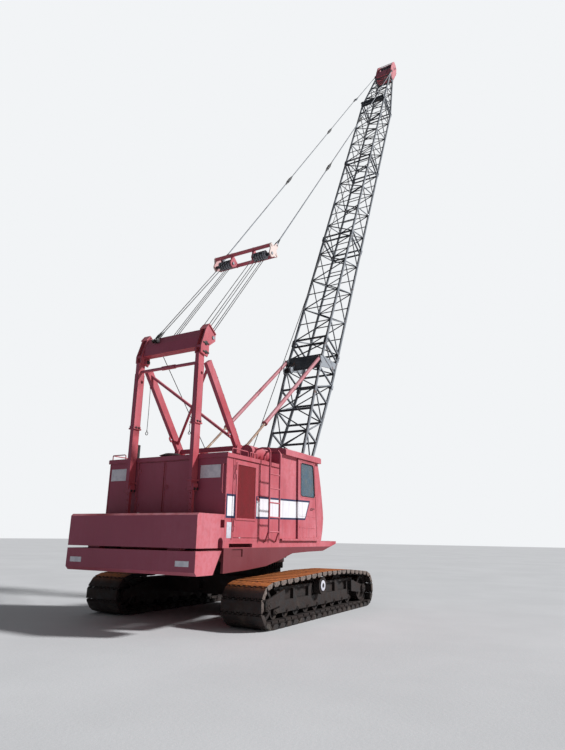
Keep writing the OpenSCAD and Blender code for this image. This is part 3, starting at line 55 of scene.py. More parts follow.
# Main sizes of the CAD parts that the added pieces follow
DECK_Z = 1.549
ROOF_Z = 3.183
HALF_W = 1.550
REAR_Y = -3.060
FRONT_Y = -1.000
LOUVRE_Y = -2.3775
LOUVRE_Z = 2.485
TRACK_X = 1.765
WHEEL_Y = 2.370
TRACK_R = 0.413
SHOES = 46
SHOE_HALF_W = 0.4425
CAB_MIDDLE = 1.1075
CAB_FLOOR = 1.591
DRUM_Y = {"front": -0.340, "rear": -1.150}
DRUM_Z = DECK_Z + 0.420
GANTRY_X = 0.820
HARNESS_AT = 3.900
ROPE_OFF = 0.1058
LINE_LENGTH = 25.9495
LINK_END = LINE_LENGTH - 4.600
TAPER_L = 5.300
BAND_S = (5.380, 5.860)
BASE_L = 6.540
INSERT_L = 5.650
TIP_L = 3.610
TIP_START = BASE_L + 3 * INSERT_L
HEAD_START = TIP_START + TIP_L
HEAD_SHEAVE_S = HEAD_START + 1.150
HEAD_SHEAVE_Z = -0.060
CHORD_R = 0.046
STOP_L = 5.276
STOP_FOOT = (-1.020, 3.620)
STOP_HEAD = (5.650, 0.600)
BOTH = (-1, 1)
SIDES = (("right", 1), ("left", -1))


def local_frame(y, z, degrees):
    """The frame of a member that rises from (y, z): X across, Y along it, Z off its back."""
    return Matrix.Translation((0, y, z)) @ Matrix.Rotation(math.radians(degrees), 4, "X")


ON_BOOM = local_frame(1.160, 1.650, 64.9)
ON_LINES = local_frame(-2.850, 5.700, 53.454)
ON_STOPS = local_frame(*STOP_FOOT, 40.138)


def placed(name, data):
    """A new object in the scene."""
    made = bpy.data.objects.new(name, data)
    scene.collection.objects.link(made)
    return made


def aim_camera():
    """The photographer's eye: behind the right rear corner, looking up the boom."""
    pitch, roll, yaw = (math.radians(a) for a in (16.122, 0.855, -29.746))
    level = Vector((math.sin(yaw), math.cos(yaw), 0))
    right = level.cross(Vector((0, 0, 1)))
    ahead = level * math.cos(pitch) + Vector((0, 0, 1)) * math.sin(pitch)
    upright = right.cross(ahead)
    across = right * math.cos(roll) + upright * math.sin(roll)
    top = upright * math.cos(roll) - right * math.sin(roll)
    data = bpy.data.cameras.new("eye")
    eye = placed("eye", data)
    turn = Matrix((across, top, -ahead)).transposed()
    eye.matrix_world = Matrix.Translation((7.72677, -11.79148, 1.64)) @ turn.to_4x4()
    data.sensor_fit = "VERTICAL"
    data.sensor_height = 36
    data.lens = 26.607
    data.shift_y = 0.002
    data.clip_end = 600
    scene.camera = eye


aim_camera()
scene.view_settings.view_transform = "Standard"


# SHADER PATTERNS


def colour(code):
    """An sRGB hex code as the linear colour that shaders take."""
    parts = [int(code[i : i + 2], 16) / 255 for i in (1, 3, 5)]
    return [c / 12.92 if c <= 0.04045 else ((c + 0.055) / 1.055) ** 2.4 for c in parts] + [1]


def add(tree, kind, values=None, **settings):
    """Adds a node with its settings, and fills its sockets with numbers, colours or outputs."""
    made = tree.nodes.new(kind)
    for key, value in settings.items():
        setattr(made, key, value)
    for key, value in (values or {}).items():
        if isinstance(value, bpy.types.NodeSocket):
            tree.links.new(value, made.inputs[key])
        else:
            made.inputs[key].default_value = value
    return made


class Finish:
    """A procedural material on the object's coordinates, painted layer over layer.

    Its ground is where the colour top lies over the colour under, as patches() takes it.
    """

    def __init__(self, name, slot, under, top, *size_and_range, **more):
        self.slot = slot
        self.material = bpy.data.materials.new(name)
        self.material.use_nodes = True
        self.tree = self.material.node_tree
        self.shader = self.tree.nodes["Principled BSDF"]
        self.ground = self.patches(*size_and_range, **more)
        self.paint = self.mix(colour(under), colour(top), self.ground)

    def node(self, kind, values=None, **settings):
        return add(self.tree, "ShaderNode" + kind, values, **settings)

    def math(self, operation, *values):
        return self.node("Math", dict(enumerate(values)), operation=operation).outputs[0]

    def step(self, value, low, high):
        """0 where the value is under low, 1 over high, and smooth between."""
        sockets = {"Value": value, "From Min": low, "From Max": high}
        return self.node("MapRange", sockets, interpolation_type="SMOOTHSTEP").outputs[0]

    def times(self, *shares):
        """The product of several shares."""
        result = shares[0]
        for share in shares[1:]:
            result = self.math("MULTIPLY", result, share)
        return result

    def inverse(self, share):
        return self.step(share, 1, 0)

    def patches(self, size, low, high, stretch=(1, 1, 1), seed=0.0):
        """Soft patches about size metres across, longer along an axis with a low stretch."""
        where = self.node("TexCoord").outputs["Object"]
        shift = (seed, seed * 0.7, seed * 1.3)
        spot = self.node("Mapping", {"Vector": where, "Location": shift, "Scale": stretch})
        noise = {"Vector": spot.outputs[0], "Scale": 1 / size, "Detail": 6, "Roughness": 0.62}
        return self.step(self.node("TexNoise", noise).outputs["Fac"], low, high)

    def grain(self, size, seed=6):
        """Even patches, for bumps."""
        return self.patches(size, 0.3, 0.7, seed=seed)

    def facing(self, axis, low, high):
        """1 on faces that turn towards an axis of the object, 0 on the others."""
        normal = self.node("TexCoord").outputs["Normal"]
        return self.step(self.node("SeparateXYZ", {0: normal}).outputs[axis], low, high)

    def along(self, axis):
        """The coordinate along an axis of the frame, in metres."""
        where = self.node("TexCoord").outputs["Object"]
        return self.node("SeparateXYZ", {0: where}).outputs[axis]

    def aside(self, axis, middle=0.0):
        """The distance to either side of a middle along an axis."""
        return self.math("ABSOLUTE", self.math("SUBTRACT", self.along(axis), middle))

    def chips(self, radius, low, high, seed, size=0.03):
        """Chipped spots along outer and inner edges, over about this radius."""
        soft = self.node("Bevel", {"Radius": radius}, samples=6).outputs[0]
        plain = self.node("NewGeometry").outputs["Normal"]
        likeness = self.node("VectorMath", {0: soft, 1: plain}, operation="DOT_PRODUCT")
        edges = self.step(likeness.outputs["Value"], 0.995, 0.86)
        return self.times(edges, self.patches(size, low, high, seed=seed))

    def mix(self, under, top, share):
        """The colour top laid over the colour under where share is 1."""
        return self.node("Mix", {0: share, 6: under, 7: top}, data_type="RGBA").outputs[2]

    def between(self, low, high, share):
        """A number that goes from low to high with share."""
        return self.node("Mix", {0: share, 2: low, 3: high}, data_type="FLOAT").outputs[0]

    def lay(self, top, *shares):
        """Lays a colour over the paint where the product of the shares is 1."""
        top = colour(top) if isinstance(top, str) else top
        self.paint = self.mix(self.paint, top, self.times(*shares))

    def done(self, rough, *bumps, metal=0.0):
        """Wires the shader; each bump is its height in metres and its pattern."""
        for socket, value in (("Base Color", self.paint), ("Roughness", rough), ("Metallic", metal)):
            if isinstance(value, bpy.types.NodeSocket):
                self.tree.links.new(value, self.shader.inputs[socket])
            else:
                self.shader.inputs[socket].default_value = value
        normal = None
        for height, pattern in bumps:
            made = self.node("Bump", {"Distance": height, "Height": pattern, "Strength": 0.8})
            if normal:
                self.tree.links.new(normal, made.inputs["Normal"])
            normal = made.outputs[0]
        self.tree.links.new(normal, self.shader.inputs["Normal"])
        return self


# FINISHES


def stripe_masks(f):
    """White band with dark borders along the house and cab, open round the louvre."""
    y, z = f.along("Y"), f.along("Z")
    rise = f.math("ADD", z, f.math("MULTIPLY_ADD", y, -0.019, -2.243))
    front = f.math("ADD", y, f.math("MULTIPLY_ADD", z, -0.556, 1.003))
    height, aside, outward = f.math("ABSOLUTE", rise), f.aside("Y", LOUVRE_Y), f.aside("X")
    return [
        f.times(
            f.step(height, 0.226 - inset, 0.222 - inset),
            f.step(front, -inset, -0.004 - inset),
            f.step(y, -3.045 + inset, -3.041 + inset),
            f.step(aside, 0.366 + inset, 0.370 + inset),
            f.step(outward, 1.545, 1.548),
        )
        for inset in (0.0, 0.042)
    ]


def red_paint(name, striped=False, pale_beyond=None, painted_shade_below=None, chalk=0.0):
    """Old red machine paint gone chalky: salmon where the sun bleached it, rain streaks and chips, and
    painted shade on rear faces.
    """
    f = Finish(name, "red_paint", "#AE4551", "#C8727D", 1.4, 0.35, 0.7, (1, 1, 0.6), 3)
    f.lay("#D797A1", f.facing("Z", 0.3, 0.9), f.patches(0.5, 0.3, 0.7, seed=8))
    f.lay("#BE5359", f.patches(0.09, 0.42, 0.66, seed=21), 0.45)
    # Painted shade: a darker mauve on faces that turn to the rear and not upwards, standing in for the
    # shade they lie in.
    f.lay("#7C3D58", f.facing("Y", -0.4, -0.9), f.inverse(f.facing("Z", 0.3, 0.8)), 0.7)
    if pale_beyond:
        ends = f.step(f.aside("X"), pale_beyond, pale_beyond + 0.001)
        f.lay("#DFCCC6", ends, f.patches(0.3, 0.1, 0.5, seed=61))
    if chalk:
        f.lay("#B9868E", f.patches(0.4, 0.2, 0.6, seed=66), chalk)
    # Painted shade: near-black red under this height, standing in for the shade under the deck's edge.
    if painted_shade_below:
        f.lay("#5E232B", f.step(f.along("Z"), painted_shade_below, painted_shade_below - 0.004), 0.85)
    if striped:
        worn = f.inverse(f.times(f.patches(0.045, 0.66, 0.72, seed=31), 0.6))
        for code, mask in zip(("#1D2A4D", "#E4E3E8"), stripe_masks(f)):
            f.lay(code, mask, worn)
        louvre = f.step(f.aside("Y", LOUVRE_Y), 0.3225, 0.3215)
        f.lay("#A8363F", louvre, f.step(f.aside("Z", LOUVRE_Z), 0.510, 0.509))
    f.lay("#7C3F44", f.patches(0.11, 0.5, 0.75, (1, 1, 0.05), 5), 0.26)
    f.lay("#6B454A", f.patches(0.35, 0.52, 0.8, (1, 1, 0.5), 13), 0.22)
    chips = f.chips(0.012, 0.46, 0.56, 17)
    f.lay("#6A3826", chips)
    f.lay("#52301F", f.patches(0.035, 0.69, 0.72, seed=40), 0.8)
    f.shader.inputs["Specular IOR Level"].default_value = 0.4
    waves = f.patches(0.7, 0.2, 0.8, seed=50)
    bumps = ((0.006, waves), (0.0012, f.grain(0.012, 51)), (0.0008, f.inverse(chips)))
    return f.done(f.between(0.46, 0.72, f.ground), *bumps)


def dull_dark_red():
    """Shaded primer-dark red of the frame under the house, dusty on its upper faces."""
    f = Finish("dull_dark_red_paint", "dark_red_paint", "#6E2A33", "#8A3A3E", 0.5, 0.35, 0.65, seed=4)
    dusty = f.times(f.facing("Z", 0.2, 0.9), f.patches(0.25, 0.3, 0.6, seed=2))
    f.lay("#7D6A60", dusty, 0.6)
    f.lay("#2A1A1B", f.patches(0.2, 0.55, 0.7, (1, 1, 0.4), 9), 0.6)
    f.lay("#5B3525", f.chips(0.01, 0.45, 0.55, 7))
    return f.done(f.between(0.5, 0.8, dusty), (0.001, f.grain(0.015)), (0.004, dusty))


def slate_paint():
    """Dark slate boom paint with rust at edges and in spots, and painted sunlight that makes its faces
    towards the machine's right pale.
    """
    f = Finish("weathered_slate_paint", "slate_paint", "#1F2631", "#151A22", 0.5, 0.35, 0.65, seed=4)
    # Painted sunlight: pale grey on faces that turn to the machine's right, where the sun falls.
    painted_sunlight = f.times(f.facing("X", 0.4, 0.9), f.patches(0.8, 0.15, 0.5, seed=2))
    f.lay("#A3A9B1", painted_sunlight, 0.8)
    f.lay("#7E838A", f.facing("Z", 0.1, 0.8), f.patches(0.3, 0.3, 0.65, seed=12), 0.45)
    rust = f.patches(0.09, 0.6, 0.68, (1, 0.5, 0.5), 15)
    f.lay("#6C4632", rust, 0.8)
    f.lay("#5A3C2C", f.chips(0.008, 0.46, 0.56, 16))
    return f.done(f.between(0.45, 0.75, painted_sunlight), (0.0015, f.grain(0.02)), (0.001, rust))


def track_steel(name, orange):
    """Cast track steel: near black with caked grease, orange rust where the rain falls on it."""
    f = Finish(name, "track_steel", "#131113", "#2A1E1B", 0.16, 0.3, 0.62, seed=3)
    streaks = f.patches(0.09, 0.35, 0.65, (1, 4, 1), 5)
    fresh = f.mix(colour("#8A4A26"), colour("#C0722F"), streaks)
    f.lay(fresh, f.facing("Z", 0.55, 0.97), f.step(f.along("Z"), 0.55, 0.78), orange)
    f.lay("#2B1F1B", f.patches(0.05, 0.55, 0.68, seed=8), 0.7)
    f.lay("#7E7263", f.patches(0.3, 0.5, 0.75, seed=11), f.step(f.along("Z"), 0.6, 0.0), 0.3)
    # Painted sunlight: pale patches on the outer end faces of the right track, the side the sun falls on.
    ends = f.times(f.facing("X", 0.5, 0.95), f.step(f.along("X"), 2.15, 2.17))
    painted_sunlight_patches = f.times(f.patches(0.04, 0.3, 0.55, seed=14), f.step(f.along("Z"), 0.1, 0.8))
    f.lay("#8F8078", ends, painted_sunlight_patches, orange, 0.7)
    bumps = ((0.003, f.grain(0.03, 21)), (0.0015, f.grain(0.008, 22)))
    return f.done(f.between(0.55, 0.9, f.ground), *bumps)


def bare_steel():
    """Machined steel of drums and pins, dulled by grease and a bloom of rust."""
    f = Finish("dull_machined_steel", "bare_steel", "#8A8A88", "#6A6866", 0.1, 0.35, 0.65, seed=2)
    rust = f.patches(0.12, 0.52, 0.66, seed=5)
    f.lay("#6B4733", rust, 0.8)
    f.lay("#211D1A", f.patches(0.16, 0.55, 0.7, seed=9), 0.7)
    return f.done(f.between(0.38, 0.7, rust), (0.0006, f.grain(0.01)), metal=f.inverse(rust))


def tan_rod():
    """Sliding rods of the boom stops: faded tan primer, scuffed bright along their length."""
    f = Finish("faded_tan_rod", None, "#A98B72", "#8A6A58", 0.3, 0.35, 0.65, seed=2)
    scuffs = f.patches(0.02, 0.5, 0.7, (1, 0.1, 0.1), 3)
    f.lay("#C9BFB2", scuffs, 0.7)
    return f.done(f.between(0.6, 0.35, scuffs), (0.0006, f.grain(0.01)))


def black_paint():
    """Sooty black paint of the exhaust and of small dark fittings."""
    f = Finish("sooty_black_paint", "black_steel", "#17171A", "#3A3634", 0.08, 0.45, 0.7, seed=3)
    f.lay("#5C3A28", f.chips(0.006, 0.4, 0.55, 7))
    return f.done(f.between(0.45, 0.85, f.ground), (0.0008, f.grain(0.01)))


def wire_rope():
    """Greasy steel wire rope: dark, with the twist of its strands."""
    f = Finish("greasy_wire_rope", "black_steel", "#1A191B", "#3C3632", 0.15, 0.45, 0.7, seed=3)
    wave = {"Vector": f.node("TexCoord").outputs["Object"], "Scale": 30.0, "Distortion": 1.0}
    strands = f.node("TexWave", wave, bands_direction="DIAGONAL").outputs["Fac"]
    return f.done(f.between(0.4, 0.75, f.ground), (0.002, strands), metal=0.5)


def blank_plate():
    """Sun-dulled pale plate, blank, with grime creeping in from its edges."""
    f = Finish("dulled_pale_plate", None, "#CFCFD8", "#BDBDC8", 0.1, 0.4, 0.65, seed=2)
    grime = f.chips(0.006, 0.35, 0.6, 4, 0.06)
    f.lay("#6B5A52", grime)
    return f.done(f.between(0.35, 0.6, grime), (0.0005, f.grain(0.04)))


def black_vinyl():
    """Cracked black vinyl of the operator's seat, shiny where it is sat on."""
    f = Finish("cracked_black_vinyl", "seat_cover", "#22252A", "#33363B", 0.12, 0.4, 0.65, seed=3)
    cells = {"Vector": f.node("TexCoord").outputs["Object"], "Scale": 90.0}
    cracks = f.node("TexVoronoi", cells, feature="DISTANCE_TO_EDGE").outputs["Distance"]
    bumps = ((0.001, f.step(cracks, 0.0, 0.06)), (0.0006, f.grain(0.006)))
    return f.done(f.between(0.62, 0.38, f.ground), *bumps)


def grey_moulding():
    """Grey textured moulding of the control stand, grubby where hands go."""
    f = Finish("grey_textured_moulding", "console_plastic", "#4A4E55", "#2F3135", 0.15, 0.45, 0.7, seed=3)
    return f.done(f.between(0.6, 0.42, f.ground), (0.0008, f.grain(0.004)))


def window_glass():
    """Old clear cab glass with a blue-grey tint and a film of dust."""
    f = Finish("dusty_clear_glass", "window_glass", "#7E97A8", "#99A0A4", 0.2, 0.4, 0.75, seed=3)
    f.shader.inputs["IOR"].default_value = 1.5
    f.shader.inputs["Transmission Weight"].default_value = 0.6
    return f.done(f.between(0.02, 0.1, f.ground), (0.0003, f.grain(0.3)))


def rubber_seal():
    """Perished black rubber round the windows, greyed by the weather."""
    f = Finish("perished_black_rubber", "black_steel", "#16161A", "#34343A", 0.06, 0.4, 0.7, seed=3)
    return f.done(0.8, (0.0005, f.grain(0.008)))


def pale_floor():
    """Plain pale studio floor, slightly uneven."""
    f = Finish("pale_studio_floor", None, "#C6C7C9", "#CDCED0", 3.0, 0.3, 0.7, seed=3)
    return f.done(0.85, (0.001, f.grain(0.05)))


RED = red_paint("faded_red_paint")
STRIPED = red_paint("faded_red_paint_with_stripe", striped=True)
BLEACHED = red_paint("faded_red_paint_bleached_ends", pale_beyond=0.8845)
# The decks carry painted shade on their skirts under the deck's edge.
DECK = red_paint("faded_red_paint_painted_shade_below", painted_shade_below=1.425)
CHALKY = red_paint("faded_red_paint_gone_chalky", chalk=0.75)
DARK_RED = dull_dark_red()
SLATE = slate_paint()
TRACK = track_steel("greasy_track_steel", 0.35)
SHOE = track_steel("rusted_shoe_steel", 1.0)
STEEL = bare_steel()
TAN = tan_rod()
BLACK = black_paint()
ROPE = wire_rope()
PLATE = blank_plate()
VINYL = black_vinyl()
MOULDING = grey_moulding()
GLASS = window_glass()
SEAL = rubber_seal()
FLOOR = pale_floor()

packed_finishes = (RED, DARK_RED, SLATE, TRACK, STEEL, BLACK, VINYL, MOULDING, GLASS)
finish_of_slot = {finish.slot: finish for finish in packed_finishes}
finish_of_node = {"roof_vent": BLACK, "stop_rods": TAN, "stop_tubes": CHALKY, "harness": BLEACHED}
red_of_node = {"cab_shell": STRIPED, "cab_door": STRIPED}
for side, _ in SIDES:
    red_of_node[f"house_wall_{side}"] = STRIPED
    red_of_node[f"side_door_{side}"] = STRIPED
    red_of_node[f"deck_{side}"] = DECK
for name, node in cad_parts.items():
    for held in node.material_slots:
        packed = held.material.name.split(".")[0]
        chosen = finish_of_node.get(name, finish_of_slot[packed])
        if packed == "red_paint":
            chosen = red_of_node.get(name, chosen)
        held.material = chosen.material


# SHAPES


def flat(p, depth, plane):
    """A point of a flat outline at a depth along the plane's normal."""
    return Vector({"YZ": (depth, *p), "XZ": (p[0], depth, p[1]), "XY": (*p, depth)}[plane])


def circle(count, phase=0.0):
    """Sine and cosine at even steps round a circle."""
    angles = [2 * math.pi * (k + phase) / count for k in range(count)]
    return [(math.cos(a), math.sin(a)) for a in angles]


class Piece:
    """Shaped parts joined to one mesh in a local frame, which then rides on a CAD body."""

    def __init__(self, name, body, finish, at=None):
        self.name = name
        self.body = body
        self.finish = finish
        self.at = at or Matrix()
        self.mesh = bmesh.new()

    def soften(self, faces, size):
        edges = {e for f in faces for e in f.edges}
        sharp = [e for e in edges if len(e.link_faces) == 2 and e.calc_face_angle() > 0.5]
        if size and sharp:
            bmesh.ops.bevel(
                self.mesh, geom=sharp, offset=size, segments=2, affect="EDGES", profile=0.6
            )

    def block(self, low, high, soft=0.004):
        """A block between its low and its high corner with rounded edges."""
        low, high = Vector(low), Vector(high)
        made = bmesh.ops.create_cube(self.mesh, size=1)["verts"]
        for v in made:
            v.co = Vector(low[i] + (v.co[i] + 0.5) * (high[i] - low[i]) for i in range(3))
        self.soften({f for v in made for f in v.link_faces}, soft)

    def box(self, a, b, soft=0.004):
        """A block between two opposite corners in any order."""
        self.block([min(pair) for pair in zip(a, b)], [max(pair) for pair in zip(a, b)], soft)

    def bar(self, start, end, radius, sides=16, soft=0.0, end_radius=None):
        """A round bar or cone from start to end."""
        start, end = Vector(start), Vector(end)
        run = end - start
        turn = run.to_track_quat("Z", "Y").to_matrix().to_4x4()
        made = bmesh.ops.create_cone(
            self.mesh,
            cap_ends=True,
            segments=sides,
            radius1=radius,
            radius2=radius if end_radius is None else end_radius,
            depth=run.length,
            matrix=Matrix.Translation((start + end) / 2) @ turn,
        )
        if soft:
            caps = {f for v in made["verts"] for f in v.link_faces if len(f.verts) > 4}
            self.soften(caps, soft)

    def across(self, x0, x1, y, z, radius, sides=16, soft=0.003):
        """A round pin along X."""
        self.bar((x0, y, z), (x1, y, z), radius, sides, soft)

    def sleeve(self, rings):
        """Joins rings of vertices one to the next."""
        for a, b in rings:
            for k in range(len(a)):
                j = (k + 1) % len(a)
                self.mesh.faces.new((a[k], a[j], b[j], b[k]))

    def pipe(self, path, radius, sides=10):
        """A round pipe along a path of points, closed at its ends."""
        path = [Vector(p) for p in path]
        rings = []
        side = None
        for i, point in enumerate(path):
            ahead = (path[min(i + 1, len(path) - 1)] - path[max(i - 1, 0)]).normalized()
            if side is None:
                side = ahead.orthogonal().normalized()
            side = (side - ahead * side.dot(ahead)).normalized()
            up = ahead.cross(side)
            ring = [point + radius * (c * side + s * up) for c, s in circle(sides)]
            rings.append([self.mesh.verts.new(p) for p in ring])
        self.sleeve(zip(rings, rings[1:]))
        self.mesh.faces.new(list(reversed(rings[0])))
        self.mesh.faces.new(rings[-1])

    def ring(self, path, radius, sides=8):
        """A pipe whose path comes back to its start."""
        self.pipe(path + path[:2], radius, sides)

    def plate(self, outline, start, end, plane="YZ", soft=0.003):
        """A flat outline in a plane, drawn out from start to end along the plane's normal."""
        low = [self.mesh.verts.new(flat(p, start, plane)) for p in outline]
        high = [self.mesh.verts.new(flat(p, end, plane)) for p in outline]
        made = [self.mesh.faces.new(low), self.mesh.faces.new(list(reversed(high)))]
        for i in range(len(outline)):
            j = (i + 1) % len(outline)
            made.append(self.mesh.faces.new((low[j], low[i], high[i], high[j])))
        bmesh.ops.recalc_face_normals(self.mesh, faces=made)
        self.soften(made, soft)

    def pierced(self, outline, hole, start, end):
        """A plate across X with a hole through it."""
        edges = []
        for loop in (outline, hole):
            ring = [self.mesh.verts.new(flat(p, start, "YZ")) for p in loop]
            edges += [self.mesh.edges.new((ring[i - 1], ring[i])) for i in range(len(ring))]
        filled = bmesh.ops.triangle_fill(self.mesh, use_beauty=True, edges=edges)["geom"]
        faces = [f for f in filled if isinstance(f, bmesh.types.BMFace)]
        inner = list({e for f in faces for e in f.edges if len(e.link_faces) == 2})
        bmesh.ops.dissolve_limit(self.mesh, angle_limit=0.01, verts=[], edges=inner)
        faces = list({f for e in edges for f in e.link_faces})
        grown = bmesh.ops.extrude_face_region(self.mesh, geom=faces)["geom"]
        moved = [v for v in grown if isinstance(v, bmesh.types.BMVert)]
        bmesh.ops.translate(self.mesh, vec=(end - start, 0, 0), verts=moved)

    def turned(self, profile, centre, axis="X", sides=32):
        """A profile of (distance along, radius) turned about an axis through centre."""
        place = {
            "X": lambda d, r, c, s: Vector((d, r * c, r * s)),
            "Y": lambda d, r, c, s: Vector((r * s, d, r * c)),
            "Z": lambda d, r, c, s: Vector((r * c, r * s, d)),
        }[axis]
        rings = [
            [self.mesh.verts.new(Vector(centre) + place(d, r, c, s)) for c, s in circle(sides)]
            for d, r in profile
        ]
        self.sleeve(zip(rings, rings[1:] + rings[:1]))

    def disc(self, centre, axis, start, end, inner, outer, chamfer, sides=32):
        """A flat ring about an axis from start to end, chamfered at its end."""
        profile = [(start, inner), (start, outer), (end, outer - chamfer), (end, inner)]
        self.turned(profile, centre, axis, sides)

    def hoop(self, centre, axis, ring_radius, radius, sides=20, roundness=8):
        """A ring of round bar about an axis."""
        profile = [(radius * s, ring_radius + radius * c) for c, s in circle(roundness)]
        self.turned(profile, centre, axis, sides)

    def to_mesh(self):
        self.mesh.transform(self.at)
        bmesh.ops.recalc_face_normals(self.mesh, faces=self.mesh.faces)
        data = bpy.data.meshes.new(self.name)
        self.mesh.to_mesh(data)
        self.mesh.free()
        data.shade_smooth()
        data.set_sharp_from_angle(angle=math.radians(38))
        data.materials.append(self.finish.material)
        return data

    def done(self, slotted=True):
        """Makes the object, lets it ride on its body and returns it."""
        made = placed(self.name, self.to_mesh())
        if self.body:
            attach(made, self.body)
        return made


def evaluated(made):
    """The mesh that an object's modifiers give."""
    graph = bpy.context.evaluated_depsgraph_get()
    return bpy.data.meshes.new_from_object(made.evaluated_get(graph))


def copier():
    """Geometry Nodes that put copies of a unit on points that carry their own turn."""
    group = bpy.data.node_groups.new("copies_on_points", "GeometryNodeTree")
    for socket, kind in (
        ("Places", "Geometry"),
        ("Unit", "Object"),
        ("Finish", "Material"),
        ("Unevenness", "Float"),
        ("Seed", "Int"),
    ):
        group.interface.new_socket(socket, in_out="INPUT", socket_type="NodeSocket" + kind)
    group.interface.new_socket("Copies", in_out="OUTPUT", socket_type="NodeSocketGeometry")
    given = add(group, "NodeGroupInput").outputs
    unit = add(group, "GeometryNodeObjectInfo", {"Object": given["Unit"]})
    turn = add(group, "GeometryNodeInputNamedAttribute", {"Name": "turn"}, data_type="FLOAT_VECTOR")
    uneven = {0: 1.0, 1: given["Unevenness"]}
    low = add(group, "ShaderNodeMath", uneven, operation="SUBTRACT").outputs[0]
    high = add(group, "ShaderNodeMath", uneven, operation="ADD").outputs[0]
    draw = {2: low, 3: high, "Seed": given["Seed"]}
    size = add(group, "FunctionNodeRandomValue", draw, data_type="FLOAT")
    rotation = add(group, "FunctionNodeEulerToRotation", {0: turn.outputs["Attribute"]})
    copies = add(
        group,
        "GeometryNodeInstanceOnPoints",
        {
            "Points": given["Places"],
            "Instance": unit.outputs["Geometry"],
            "Rotation": rotation.outputs[0],
            "Scale": size.outputs[1],
        },
    )
    real = add(group, "GeometryNodeRealizeInstances", {0: copies.outputs[0]})
    paint = {"Geometry": real.outputs[0], "Material": given["Finish"]}
    painted = add(group, "GeometryNodeSetMaterial", paint)
    add(group, "NodeGroupOutput", {0: painted.outputs[0]})
    return group


COPIER = copier()


def repeated(name, body, unit, places, unevenness=0.0, seed=1):
    """Copies of the unit piece at (point, turn) places as one mesh that rides on a body."""
    pattern = placed(name + "_unit", unit.to_mesh())
    spots = bpy.data.meshes.new(name + "_places")
    spots.from_pydata([tuple(p) for p, _ in places], [], [])
    turns = spots.attributes.new("turn", "FLOAT_VECTOR", "POINT")
    turns.data.foreach_set("vector", [a for _, t in places for a in t])
    holder = placed(name + "_holder", spots)
    modifier = holder.modifiers.new("copies", "NODES")
    modifier.node_group = COPIER
    wanted = {"Unit": pattern, "Finish": unit.finish.material, "Unevenness": unevenness, "Seed": seed}
    for socket in COPIER.interface.items_tree:
        if socket.in_out == "INPUT" and socket.name in wanted:
            modifier[socket.identifier] = wanted[socket.name]
    data = evaluated(holder)
    for made in (pattern, holder):
        bpy.data.objects.remove(made)
    data.name = name
    copies = placed(name, data)
    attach(copies, body)
    return copies


def turn_to(direction, up=(0, 0, 1)):
    """The turn that points a unit's Z along direction and its Y near up."""
    z = Vector(direction).normalized()
    x = Vector(up).cross(z)
    x = x.normalized() if x.length > 1e-6 else Vector((1, 0, 0))
    y = z.cross(x)
    return tuple(Matrix((x, y, z)).transposed().to_euler())


def bolt(radius=0.014, finish=STEEL):
    """A hexagon head with a washer and a domed end, standing on its base along Z."""
    unit = Piece("bolt", None, finish)
    unit.disc((0, 0, 0), "Z", 0, radius * 0.25, 0, radius * 1.5, radius * 0.05, 16)
    unit.bar((0, 0, radius * 0.2), (0, 0, radius), radius, 6, radius * 0.12)
    unit.bar((0, 0, radius * 0.9), (0, 0, radius * 1.25), radius * 0.55, 12, radius * 0.1)
    return unit


def rectangle(x0, x1, y0, y1):
    return [(x0, y0), (x1, y0), (x1, y1), (x0, y1)]


def mirrored(half, middle=0.0):
    """An outline from its right half: the points up it, then their mirror images back down."""
    return half + [(2 * middle - x, y) for x, y in reversed(half)]


def rounded(outline, radius, steps=6):
    """A flat outline whose corners are arcs of this radius."""
    points = []
    for i, spot in enumerate(outline):
        here = Vector(spot)
        before = (Vector(outline[i - 1]) - here).normalized()
        after = (Vector(outline[(i + 1) % len(outline)]) - here).normalized()
        half = before.angle(after) / 2
        centre = here + (before + after).normalized() * (radius / math.sin(half))
        start = (here + before * (radius / math.tan(half)) - centre).normalized()
        end = (here + after * (radius / math.tan(half)) - centre).normalized()
        points += [tuple(centre + start.slerp(end, k / steps) * radius) for k in range(steps + 1)]
    return points


# SLINGS


def hanging_sling(name, top, length, diameter, ring):
    """A limp wire sling that hangs from a hook, with a steel ring at its lower end."""
    x, y, z = top
    path = [(x, y + 0.006 * math.sin(math.pi * k / 15), z - length * k / 15) for k in range(16)]
    cord = Piece(name, "upper", ROPE)
    cord.pipe(path, diameter / 2, 10)
    foot = z - length
    end = Piece(name + "_ring", "upper", BLACK)
    end.bar((x, y, foot + 0.03), (x, y, foot - 0.012), diameter * 0.85, 10, 0.002)
    end.hoop((x, y, foot - ring - 0.008), "Y", ring, 0.007, 24)
    cord.done()
    end.done()


hanging_sling("long_sling", (-0.850, -2.774, 4.803), 0.980, 0.012, 0.034)
hanging_sling("short_sling", (0.750, -3.2705, 3.750), 0.130, 0.010, 0.026)


# TRACKS

# Corners (y, z) of the track's upper run, which sags over the carrier wheels
TRACK_TOP = [(WHEEL_Y, 2 * TRACK_R), (1.200, 0.915), (-0.085, 0.920), (-WHEEL_Y, 2 * TRACK_R)]
TRACK_ARC = math.pi * TRACK_R
TOP_RUNS = [math.dist(a, b) for a, b in zip(TRACK_TOP, TRACK_TOP[1:])]
TRACK_LENGTH = 2 * WHEEL_Y + 2 * TRACK_ARC + sum(TOP_RUNS)


